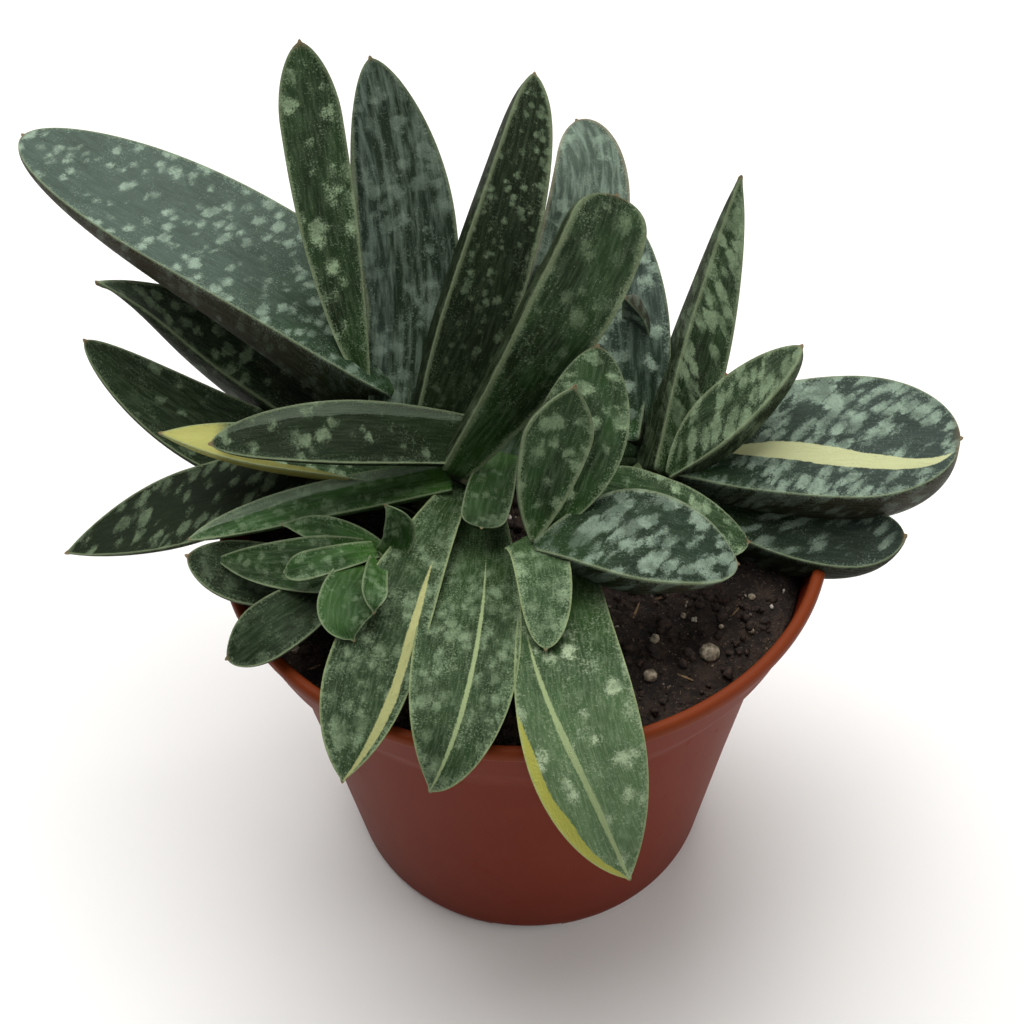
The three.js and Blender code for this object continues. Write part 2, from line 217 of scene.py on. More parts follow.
# ---- effects shared by the materials ----
def make_leaf_places():
    """Where a point lies on its leaf, read from the mesh: millimetres round and along, and shares."""
    gives = {"Place": "NodeSocketVector"}
    for label in ("Share across", "Share along", "From tip", "Edge", "Under", "Half"):
        gives[label] = "NodeSocketFloat"
    tree, takes, results = new_effect("leaf_places", {"Seed": 0.0}, gives)
    place = put(tree, "ShaderNodeAttribute", attribute_name="leaf_place").outputs["Vector"]
    share = put(tree, "ShaderNodeAttribute", attribute_name="leaf_share").outputs["Vector"]
    around, along, half = put(tree, "ShaderNodeSeparateXYZ", {0: place}).outputs
    across, length, from_tip = put(tree, "ShaderNodeSeparateXYZ", {0: share}).outputs
    past_edge = sums(tree, "SUBTRACT", sums(tree, "ABSOLUTE", around), half)
    found = {
        "Place": put(tree, "ShaderNodeCombineXYZ", {0: around, 1: along, 2: takes["Seed"]}).outputs[0],
        "Share across": across, "Share along": length, "From tip": from_tip,
        "Edge": sums(tree, "ABSOLUTE", past_edge), "Under": ramp(tree, past_edge, 0.0, 0.5), "Half": half,
    }
    for label, socket in found.items():
        tree.links.new(socket, results[label])
    return tree


def make_blotches():
    """Pale granular spots that run together here and there: Stretch draws them out across the leaf."""
    starts = {
        "Place": (0.0, 0.0, 0.0), "Size": 4.0, "Stretch": 1.0, "Angle": 0.0, "Cover": 0.5,
        "Soft": 0.1, "Grain": 0.5,
    }
    tree, takes, results = new_effect("pale_blotches", starts, MASK)
    turned = spun(tree, takes["Place"], takes["Angle"])
    scale = sums(tree, "DIVIDE", 1.0, takes["Size"])
    cells = stretched(tree, turned, sums(tree, "DIVIDE", scale, takes["Stretch"]), scale)
    wander = put(tree, "ShaderNodeTexNoise", {"Vector": cells, "Scale": 1.5, "Detail": 3.0}).outputs[1]
    centred = put(tree, "ShaderNodeVectorMath", {0: wander, 1: (0.5, 0.5, 0.5)}, operation="SUBTRACT")
    eased = put(tree, "ShaderNodeVectorMath", {0: centred.outputs[0], 3: 0.8}, operation="SCALE").outputs[0]
    moved = put(tree, "ShaderNodeVectorMath", {0: cells, 1: eased}, operation="ADD").outputs[0]
    cell = put(tree, "ShaderNodeTexVoronoi", {"Vector": moved, "Scale": 1.0}, voronoi_dimensions="3D")
    cloud = noise(tree, cells, 1.7, 3.0, 0.6)
    drift = noise(tree, takes["Place"], 0.11, 2.0)
    strength = noise(tree, takes["Place"], 0.3, 2.0)
    fine = sums(tree, "SUBTRACT", noise(tree, takes["Place"], 2.4, 3.0, 0.75), 0.5)
    body = sums(tree, "SUBTRACT", sums(tree, "MULTIPLY", cloud, 0.35), cell.outputs["Distance"])
    body = sums(tree, "MULTIPLY_ADD", drift, 0.8, body)
    body = sums(tree, "MULTIPLY_ADD", fine, takes["Grain"], body)
    level = sums(tree, "SUBTRACT", 0.85, takes["Cover"])
    above = sums(tree, "DIVIDE", sums(tree, "SUBTRACT", body, level), takes["Soft"])
    shape = ramp(tree, above, -1.0, 1.0)
    faded = sums(tree, "MULTIPLY", shape, ramp(tree, strength, 0.35, 0.62, 0.45, 1.0))
    speckled = sums(tree, "MULTIPLY", faded, ramp(tree, fine, -0.2, 0.12, 0.6, 1.0))
    tree.links.new(speckled, results["Mask"])
    return tree


def make_stipple():
    """Fine pale grains in drifting patches, thickest along the leaf's edges."""
    starts = {"Place": (0.0, 0.0, 0.0), "Edge": 5.0, "Size": 0.38, "Patch": 6.0, "Cover": 0.5}
    tree, takes, results = new_effect("fine_stipple", starts, MASK)
    fine = noise(tree, takes["Place"], sums(tree, "DIVIDE", 1.0, takes["Size"]), 2.0, 0.7)
    patch = noise(tree, takes["Place"], sums(tree, "DIVIDE", 1.0, takes["Patch"]), 4.0, 0.65)
    rubbed = ramp(tree, takes["Edge"], 2.2, 0.2, 0.0, 0.14)
    cover = sums(tree, "MULTIPLY_ADD", sums(tree, "SUBTRACT", patch, 0.5), 0.5, rubbed)
    limit = sums(tree, "SUBTRACT", 0.85, sums(tree, "MULTIPLY", takes["Cover"], 0.4))
    limit = sums(tree, "SUBTRACT", limit, cover)
    tree.links.new(ramp(tree, sums(tree, "SUBTRACT", fine, limit), -0.08, 0.14), results["Mask"])
    return tree


def make_fibres():
    """Brushed lines that run the length of the leaf, with a slight slant."""
    starts = {"Place": (0.0, 0.0, 0.0), "Width": 0.6, "Length": 6.0, "Slant": 0.0}
    tree, takes, results = new_effect("lengthwise_fibres", starts, MASK)
    turned = spun(tree, takes["Place"], takes["Slant"])
    wide = sums(tree, "DIVIDE", 1.0, takes["Width"])
    long = sums(tree, "DIVIDE", 1.0, takes["Length"])
    lines = noise(tree, stretched(tree, turned, wide, long), 1.0, 3.0, 0.6)
    tree.links.new(ramp(tree, lines, 0.4, 0.68), results["Mask"])
    return tree


def make_margin_line():
    """The pale horny line along a leaf's edge."""
    starts = {"Place": (0.0, 0.0, 0.0), "Edge": 1.0, "Width": 0.4}
    tree, takes, results = new_effect("margin_line", starts, MASK)
    uneven = sums(tree, "MULTIPLY_ADD", noise(tree, takes["Place"], 0.6, 3.0), 1.2, 0.4)
    width = sums(tree, "MULTIPLY", takes["Width"], uneven)
    inside = sums(tree, "DIVIDE", takes["Edge"], width)
    tree.links.new(ramp(tree, inside, 1.5, 0.35), results["Mask"])
    return tree


def make_stripe():
    """A long variegated band: where it lies across the leaf at its start and end, and how wide it is."""
    starts = {
        "Place": (0.0, 0.0, 0.0), "Share across": 0.0, "Share along": 0.0, "Half": 5.0,
        "First": 0.0, "Last": 0.0, "Width": 1.0, "From": 0.1, "To": 1.0, "Bow": 0.0,
    }
    tree, takes, results = new_effect("variegated_stripe", starts, MASK)
    run = sums(tree, "SUBTRACT", takes["Share along"], takes["From"])
    span = sums(tree, "SUBTRACT", takes["To"], takes["From"])
    part = sums(tree, "MINIMUM", sums(tree, "MAXIMUM", sums(tree, "DIVIDE", run, span), 0.0), 1.0)
    arch = sums(tree, "SINE", sums(tree, "MULTIPLY", part, math.pi))
    drift = sums(tree, "SUBTRACT", takes["Last"], takes["First"])
    centre = sums(tree, "MULTIPLY_ADD", part, drift, takes["First"])
    centre = sums(tree, "MULTIPLY_ADD", arch, takes["Bow"], centre)
    aside = sums(tree, "ABSOLUTE", sums(tree, "SUBTRACT", takes["Share across"], centre))
    gap = sums(tree, "MULTIPLY", aside, takes["Half"])
    wavy = sums(tree, "MULTIPLY_ADD", noise(tree, takes["Place"], 0.16, 3.0), 0.7, 0.65)
    swell = sums(tree, "MULTIPLY", sums(tree, "POWER", arch, 0.6), wavy)
    width = sums(tree, "MULTIPLY", takes["Width"], swell)
    frayed = sums(tree, "MULTIPLY_ADD", noise(tree, takes["Place"], 1.5, 3.0, 0.7), 0.5, gap)
    tree.links.new(ramp(tree, sums(tree, "SUBTRACT", width, frayed), -0.3, -0.05), results["Mask"])
    return tree


def make_speckle():
    """Uneven tone on plastic, soil and grit."""
    starts = {"Place": (0.0, 0.0, 0.0), "Size": 1.0, "Low": 0.4, "High": 0.7}
    tree, takes, results = new_effect("speckle", starts, MASK)
    spots = noise(tree, takes["Place"], sums(tree, "DIVIDE", 1.0, takes["Size"]), 4.0, 0.6)
    tree.links.new(ramp(tree, spots, takes["Low"], takes["High"]), results["Mask"])
    return tree


LEAF_PLACES = make_leaf_places()
BLOTCHES = make_blotches()
STIPPLE = make_stipple()
FIBRES = make_fibres()
MARGIN_LINE = make_margin_line()
STRIPE = make_stripe()
SPECKLE = make_speckle()

# ---- leaf skins ----
# The pale markings, as settings of their effect, with the strength at which they are laid on.
ROUND_SPOTS = {"Size": 3.6, "Stretch": 1.15, "Cover": 0.62, "Soft": 0.14, "Grain": 0.5}
BANDED_SPOTS = {"Size": 2.3, "Stretch": 2.3, "Angle": 0.8, "Cover": 0.74, "Soft": 0.15, "Grain": 0.5}
LARGE_SPOTS = {"Size": 5.0, "Stretch": 0.9, "Cover": 0.54, "Soft": 0.16, "Grain": 0.8}
STREAKY_SPOTS = {"Size": 2.8, "Stretch": 1.5, "Cover": 0.56, "Soft": 0.17, "Grain": 0.6}
SPARSE_ROUND_SPOTS = {**ROUND_SPOTS, "Cover": 0.52}
SPARSE_BANDED_SPOTS = {**BANDED_SPOTS, "Cover": 0.62}
SMALL_SPOTS = {"Size": 2.2, "Stretch": 1.0, "Cover": 0.62, "Soft": 0.16, "Grain": 0.5}
SPARSE_SMALL_SPOTS = {**SMALL_SPOTS, "Cover": 0.54}
FAINT_SPOTS = {"Size": 3.2, "Stretch": 0.75, "Cover": 0.6, "Soft": 0.28, "Grain": 0.7}

# face, deep: the upper face and its darker drifts; flank, flank_tip: the thick sides and underside,
# darker than the face, partly in their own colour and partly as painted shade;
# base: near the stem; bloom: the grey veil on the upper face, partly real wax and partly a painted
# reflection of the sky, with its strength at the root and at the tip;
# bloom_from, spots_from: how far along the veil starts and the pale markings are full;
# spot: the markings' colour; brushed: the lengthwise lines; groove: painted shade in the grooves between
# them;
# shade: painted shade, how far the leaf is darkened under its markings where other leaves shadow it;
# brown: length of the dry tip.
DARK = {
    "face": paint(38, 68, 30), "deep": paint(20, 36, 13), "flank": paint(22, 32, 12),
    "flank_tip": paint(32, 42, 20), "base": paint(48, 84, 28), "bloom_and_sheen": paint(72, 90, 68),
    "bloom_from": 0.15, "bloom_root": 0.0, "bloom_tip": 0.25, "spot": paint(160, 184, 146),
    "spots": ROUND_SPOTS, "spots_from": 0.3, "spot_strength": 0.85, "stipple": 0.5,
    "stipple_strength": 0.45, "brushed": {"Width": 0.7, "Length": 5.0}, "brush_strength": 0.1,
    "groove": 0.1, "margin": paint(132, 146, 112), "line": 0.38, "brown": 1.5,
    "tip": paint(120, 104, 78), "rough": 0.55, "shade": 0.0,
}
GREY = {
    **DARK, "face": paint(37, 60, 35), "deep": paint(24, 41, 22), "flank": paint(26, 34, 15),
    "flank_tip": paint(56, 50, 38), "bloom_and_sheen": paint(64, 76, 73), "bloom_root": 0.05, "bloom_tip": 0.85,
    "spot": paint(160, 182, 162), "spot_strength": 0.9, "brush_strength": 0.05, "groove": 0.05,
}
YOUNG = {
    **DARK, "face": paint(50, 88, 36), "deep": paint(32, 60, 22), "flank": paint(44, 76, 26),
    "flank_tip": paint(48, 78, 34), "base": paint(64, 106, 36), "bloom_tip": 0.15,
    "spots": SMALL_SPOTS, "spot_strength": 0.3, "stipple": 0.35, "stipple_strength": 0.35,
    "brown": 0.6, "line": 0.35, "shade": 0.15,
}
FRONT = {
    **DARK, "face": paint(50, 76, 41), "deep": paint(33, 55, 27), "flank": paint(36, 56, 24),
    "flank_tip": paint(52, 72, 42), "base": paint(56, 88, 36), "spots": FAINT_SPOTS,
    "spot_strength": 0.62, "stipple": 0.6, "brush_strength": 0.14,
    "brushed": {"Width": 0.45, "Length": 3.0}, "brown": 0.8, "bloom_tip": 0.2,
    "margin": paint(150, 164, 116),
}
YELLOW = paint(165, 165, 96)
BUTTER = paint(172, 174, 118)
CREAM = paint(190, 194, 146)
OLIVE = paint(160, 160, 72)
DARK_OLIVE = paint(120, 118, 60)
PALE_RIB = paint(148, 164, 118)
GREY_BAND = paint(104, 118, 100)
# The dark green laid over leaves as painted shade.
SHADE = paint(16, 24, 10)
SKINS = {"dark": DARK, "grey": GREY, "young": YOUNG, "front": FRONT}
SLOTS = {"dark": "leaf_dark", "grey": "leaf_grey", "young": "leaf_dark", "front": "leaf_dark"}
LAYER_STEP = 37.0  # how far apart two leaves take their patterns from
LEAF_SHEEN = 0.09
# How strongly the bands under the markings, the stripes over them and the margin's line are laid on.
BAND_STRENGTH = 0.8
STRIPE_STRENGTH = 0.92
LINE_STRENGTH = 0.55
# The share of a leaf's painted shade that also lies over its markings.
SHADE_OVER = 0.7


STRIPE_WORDS = ("First", "Last", "Bow", "Width", "From", "To")


def with_stripes(tree, colour, at, stripes, strength):
    """The colour with lengthwise stripes over it, each given by STRIPE_WORDS and its tint."""
    for *numbers, tint in stripes:
        sockets = {label: at[label] for label in ("Place", "Share across", "Share along", "Half")}
        band = use(tree, STRIPE, {**sockets, **dict(zip(STRIPE_WORDS, numbers))})
        colour = mix(tree, sums(tree, "MULTIPLY", band, strength), colour, tint)
    return colour


def leaf_skin(name, look, seed):
    """The waxy, spotted skin of one leaf."""
    material, tree, shader = new_material(name)
    at = use(tree, LEAF_PLACES, {"Seed": seed * LAYER_STEP}, None)
    place = at["Place"]
    under = at["Under"]
    along = at["Share along"]

    drift = noise(tree, stretched(tree, place, 0.14, 0.07), 1.0, 4.0, 0.6)
    face = mix(tree, ramp(tree, drift, 0.36, 0.64), look["deep"], look["face"])
    face = mix(tree, ramp(tree, along, 0.34, 0.0, 0.0, 0.55), face, look["base"])
    # The grey veil on the upper face: partly real wax, partly a painted reflection of the sky, strongest
    # towards the tip.
    veil = ramp(tree, along, look["bloom_from"], 0.8, look["bloom_root"], look["bloom_tip"])
    veil = sums(tree, "MULTIPLY", veil, ramp(tree, drift, 0.3, 0.6, 0.7, 1.0))
    face = mix(tree, veil, face, look["bloom_and_sheen"])
    # The underside, darker than the face: partly its own colour and partly painted shade.
    flank = mix(tree, ramp(tree, along, 0.25, 0.85), look["flank"], look["flank_tip"])
    flank = mix(tree, ramp(tree, drift, 0.55, 0.7, 0.0, 0.5), flank, look["deep"])
    colour = mix(tree, under, face, flank)
    # Painted shade: the whole leaf darkened where other leaves shadow it.
    colour = mix(tree, look["shade"], colour, SHADE)

    colour = with_stripes(tree, colour, at, look.get("bands", ()), BAND_STRENGTH)

    brushed = use(tree, FIBRES, {"Place": place, **look["brushed"]})
    # Painted shade: the colour darkens in the grooves between the lengthwise lines, where the relief is
    # low.
    groove = sums(tree, "MULTIPLY", sums(tree, "SUBTRACT", 1.0, brushed), look["groove"])
    colour = mix(tree, groove, colour, look["deep"])
    colour = mix(tree, sums(tree, "MULTIPLY", brushed, look["brush_strength"]), colour, look["spot"])
    blotches = use(tree, BLOTCHES, {"Place": place, **look["spots"]})
    strength = ramp(tree, under, 0.0, 1.0, look["spot_strength"], 0.35 * look["spot_strength"])
    strength = sums(tree, "MULTIPLY", strength, ramp(tree, along, 0.02, look["spots_from"], 0.25, 1.0))
    colour = mix(tree, sums(tree, "MULTIPLY", blotches, strength), colour, look["spot"])
    stipple = use(tree, STIPPLE, {"Place": place, "Edge": at["Edge"], "Cover": look["stipple"]})
    grains = ramp(tree, under, 0.0, 1.0, look["stipple_strength"], 0.5 * look["stipple_strength"])
    colour = mix(tree, sums(tree, "MULTIPLY", stipple, grains), colour, look["spot"])
    # More painted shade, laid over the markings too.
    colour = mix(tree, SHADE_OVER * look["shade"], colour, SHADE)

    colour = with_stripes(tree, colour, at, look.get("stripes", ()), STRIPE_STRENGTH)
    if "yellow_tip" in look:
        reach = look["yellow_tip"]
        colour = mix(tree, ramp(tree, at["From tip"], reach, 0.7 * reach), colour, YELLOW)

    line = use(tree, MARGIN_LINE, {"Place": place, "Edge": at["Edge"], "Width": look["line"]})
    colour = mix(tree, sums(tree, "MULTIPLY", line, LINE_STRENGTH), colour, look["margin"])
    dry = ramp(tree, at["From tip"], look["brown"], 0.2 * look["brown"])
    near_edge = ramp(tree, at["Edge"], 1.4, 0.2, 0.35, 1.0)
    colour = mix(tree, sums(tree, "MULTIPLY", dry, near_edge), colour, look["tip"])

    roughness = ramp(tree, stipple, 0.0, 1.0, look["rough"], look["rough"] + 0.2)
    relief = sums(tree, "MULTIPLY_ADD", stipple, 0.5, sums(tree, "MULTIPLY", brushed, 0.4))
    relief = sums(tree, "MULTIPLY_ADD", blotches, 0.35, relief)
    relief = sums(tree, "MULTIPLY_ADD", noise(tree, place, 1.6, 4.0, 0.65), 0.9, relief)
    finish_skin(tree, shader, colour, roughness, relief, strength=0.6, depth=0.0003)
    shader.inputs["Specular IOR Level"].default_value = LEAF_SHEEN
    return material


# ---- leaf shapes ----
# Along a leaf, t runs from 0 at the root to 1 at the tip; across it, s runs from -1 to 1.
# Leaf ends: how the half width closes from the widest place to the tip, as (1 - u^a)^b.
ENDS = {"square": (6, 0.5), "round": (2.4, 0.5), "blunt": (2, 0.62), "point": (1.9, 0.85)}
RINGS = 96
FACE_STEPS = 26
UNDER_STEPS = 11
SPIKE_RINGS = 5
SPIKE_RADIUS = 0.42
# Low relief on the upper face, in millimetres.
RELIEF = {"margin": 0.22, "margin_breadth": 0.55, "swell": 0.3, "rib": 0.45, "rib_breadth": 1.0}
WANDER = 0.02  # how far the width strays, as a share of itself


def leaf(root, mid, tip, width, thick, up, end, skin="dark", **more):
    """One leaf. root, mid and tip lie on its middle line, up is where the upper face looks."""
    shape = {
        "root": root, "mid": mid, "tip": tip, "width": width, "thick": thick, "up": up, "end": end,
        "base": 0.8, "widest": 0.5, "cup": 0.0, "keel": 0.3, "keel_at": 0.0, "taper": 0.45,
        "spike": 0.6, "rib": None, "ridges": 0, "ridge_height": 0.0, "skin": skin,
    }
    return {**shape, **more}


def breadth(t, shape):
    """The leaf's width at t, as a share: it opens from the root to the widest place, then closes."""
    opening = shape["base"] + (1 - shape["base"]) * np.sin(np.pi / 2 * np.clip(t / shape["widest"], 0, 1))
    a, b = ENDS[shape["end"]]
    u = np.clip((t - shape["widest"]) / (1 - shape["widest"]), 0, 1)
    return np.where(t < shape["widest"], opening, (1 - u**a) ** b)


def belly(s, shape):
    """The underside's depth at s, as a share: a round belly drawn out to a keel."""
    keel_at, keel = shape["keel_at"], shape["keel"]
    d = np.clip(np.where(s > keel_at, (s - keel_at) / (1 - keel_at), (keel_at - s) / (1 + keel_at)), 0, 1)
    return (1 - d**2.4) ** (1 / 2.4) * (1 - keel) + (1 - d) * keel


def section_places(keel_at):
    """Shares across the leaf, once round from the keel, and which of them are on the underside."""
    face = np.sin(np.linspace(-1, 1, FACE_STEPS + 1) * np.pi / 2)
    reach = np.sin(np.linspace(0, 1, UNDER_STEPS + 1) * np.pi / 2)
    first = keel_at + (-1 - keel_at) * reach[:-1]
    last = keel_at + (1 - keel_at) * reach[-2:0:-1]
    under = np.concatenate([np.ones(len(first)), np.zeros(len(face)), np.ones(len(last))]).astype(bool)
    return np.concatenate([first, face, last]), under


def face_relief(s, t, half, shape, waves):
    """Low relief on the upper face, in millimetres: rolled margins, rib, ridges and slow swells."""
    inside = np.clip(t / 0.1, 0, 1) * np.clip((1 - t) / 0.12, 0, 1)
    edge = (1 - np.abs(s)) * half
    relief = RELIEF["margin"] * np.exp(-((edge / RELIEF["margin_breadth"]) ** 2)) * inside
    swell = np.sin(2 * np.pi * (1.7 * t + waves[0]) + 1.5 * s) * np.cos(2.2 * s + 6 * waves[1])
    relief += RELIEF["swell"] * swell * inside * (1 - s**2)
    if shape["rib"] is not None:
        aside = (s - shape["rib"]) * half / RELIEF["rib_breadth"]
        relief -= RELIEF["rib"] * np.exp(-(aside**2)) * inside
    if shape["ridges"]:
        lines = np.cos(np.pi * shape["ridges"] * (s + 0.05 * np.sin(5 * t + 6 * waves[2])) + 6 * waves[3])
        strength = 0.6 + 0.4 * np.sin(2 * np.pi * (1.3 * t + waves[4]) + 3 * s)
        relief += shape["ridge_height"] * lines * strength * inside * (1 - s**4)
    return relief


def leaf_rings(shape, draw):
    """Middle line, frame and half width of every ring, from the root to the end of the spike."""
    root, mid, tip = (np.array(shape[key], float) for key in ("root", "mid", "tip"))
    control = 2 * mid - 0.5 * (root + tip)
    t = 1 - (1 - np.linspace(0, 1, RINGS)) ** 1.6
    column = t[:, None]
    centre = (1 - column) ** 2 * root + 2 * column * (1 - column) * control + column**2 * tip
    along = 2 * (1 - column) * (control - root) + 2 * column * (tip - control)
    along /= np.linalg.norm(along, axis=1)[:, None]
    beyond = np.linspace(0, 1, SPIKE_RINGS + 1)[1:, None] * shape["spike"]
    centre = np.concatenate([centre, tip + beyond * along[-1]])
    along = np.concatenate([along, np.repeat(along[-1:], SPIKE_RINGS, axis=0)])
    t = np.concatenate([t, np.ones(SPIKE_RINGS)])
    up = np.array(shape["up"], float)
    up /= np.linalg.norm(up)
    normal = up - (along @ up)[:, None] * along
    normal /= np.linalg.norm(normal, axis=1)[:, None]
    side = np.cross(along, normal)
    steps = np.linalg.norm(np.diff(centre, axis=0), axis=1)
    travelled = np.concatenate([[0], np.cumsum(steps)])
    left = travelled[-1] - travelled
    share = breadth(t, shape)
    spike = SPIKE_RADIUS * np.sqrt(np.clip(left / shape["spike"], 0, 1)) * np.clip(1.6 - 0.3 * left, 0, 1)
    wander = WANDER * np.sin(2 * np.pi * (1.4 * t + draw[5])) * np.sin(np.pi * t)
    half = ((shape["width"] / 2 * share * (1 + wander)) ** 3 + spike**3) ** (1 / 3)
    thick = (shape["thick"] * (1 - shape["taper"] * t) * share**0.6) ** 3 + (1.6 * spike) ** 3
    return t, centre, side, normal, half, thick ** (1 / 3), travelled, left


def mesh_of(name, vertices, faces):
    mesh = bpy.data.meshes.new(name)
    mesh.from_pydata(vertices, [], faces)
    return mesh


def leaf_mesh(name, shape, draw):
    """One leaf's mesh; each corner holds where it lies on the leaf, for the skin to read."""
    t, centre, side, normal, half, thick, travelled, left = leaf_rings(shape, draw)
    s, under = section_places(shape["keel_at"])
    ring_count, ring_size = len(t), len(s)
    half, thick = half[:, None], thick[:, None]
    hollow = shape["cup"] * half * (1 - s**2)
    top = face_relief(s, t[:, None], half, shape, draw) - hollow
    bottom = -belly(s, shape) * thick - 0.5 * hollow
    height = np.where(under, bottom, top)
    across = s * half
    points = (
        centre[:, None, :] + across[:, :, None] * side[:, None, :] + height[:, :, None] * normal[:, None, :]
    )

    # Each ring unwrapped: millimetres round from the middle of the face, both ends at the keel.
    closed_across = np.concatenate([across, across[:, :1]], axis=1)
    closed_height = np.concatenate([height, height[:, :1]], axis=1)
    steps = np.hypot(np.diff(closed_across, axis=1), np.diff(closed_height, axis=1))
    round_way = np.concatenate([np.zeros((ring_count, 1)), np.cumsum(steps, axis=1)], axis=1)
    middle = UNDER_STEPS + FACE_STEPS // 2
    around = round_way - round_way[:, middle : middle + 1]
    margin = around[:, UNDER_STEPS + FACE_STEPS]
    s_closed = np.concatenate([s, s[:1]])

    vertices = [tuple(p) for p in (points.reshape(-1, 3) * MM)]
    root_point, tip_point = len(vertices), len(vertices) + 1
    vertices.append(tuple(points[0].mean(axis=0) * MM))
    vertices.append(tuple(centre[-1] * MM))
    faces, places, shares = [], [], []

    def corner(ring, column):
        places.append((around[ring, column], travelled[ring], margin[ring]))
        shares.append((s_closed[column], t[ring], left[ring]))

    for ring in range(ring_count - 1):
        for j in range(ring_size):
            following = (j + 1) % ring_size
            faces.append((
                ring * ring_size + j, ring * ring_size + following,
                (ring + 1) * ring_size + following, (ring + 1) * ring_size + j,
            ))
            for r, c in ((ring, j), (ring, j + 1), (ring + 1, j + 1), (ring + 1, j)):
                corner(r, c)
    last = ring_count - 1
    for j in range(ring_size):
        following = (j + 1) % ring_size
        faces.append((last * ring_size + j, last * ring_size + following, tip_point))
        for c in (j, j + 1, j):
            corner(last, c)
        faces.append((following, j, root_point))
        for c in (j + 1, j, j):
            corner(0, c)
    mesh = mesh_of(name, vertices, faces)
    for label, values in (("leaf_place", places), ("leaf_share", shares)):
        attribute = mesh.attributes.new(label, "FLOAT_VECTOR", "CORNER")
        attribute.data.foreach_set("vector", np.array(values, np.float32).ravel())
    return mesh


def show(name, mesh, material, slot, *nodes):
    """Puts a finished mesh on the part: smooth, on its body, in place of its CAD nodes; slot is not used.
    """
    mesh.validate()
    mesh.shade_smooth()
    mesh.materials.append(material)
    piece = bpy.data.objects.new(name, mesh)
    bpy.context.scene.collection.objects.link(piece)
    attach(piece, BODY)
    if nodes:
        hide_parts(*nodes)
    return piece


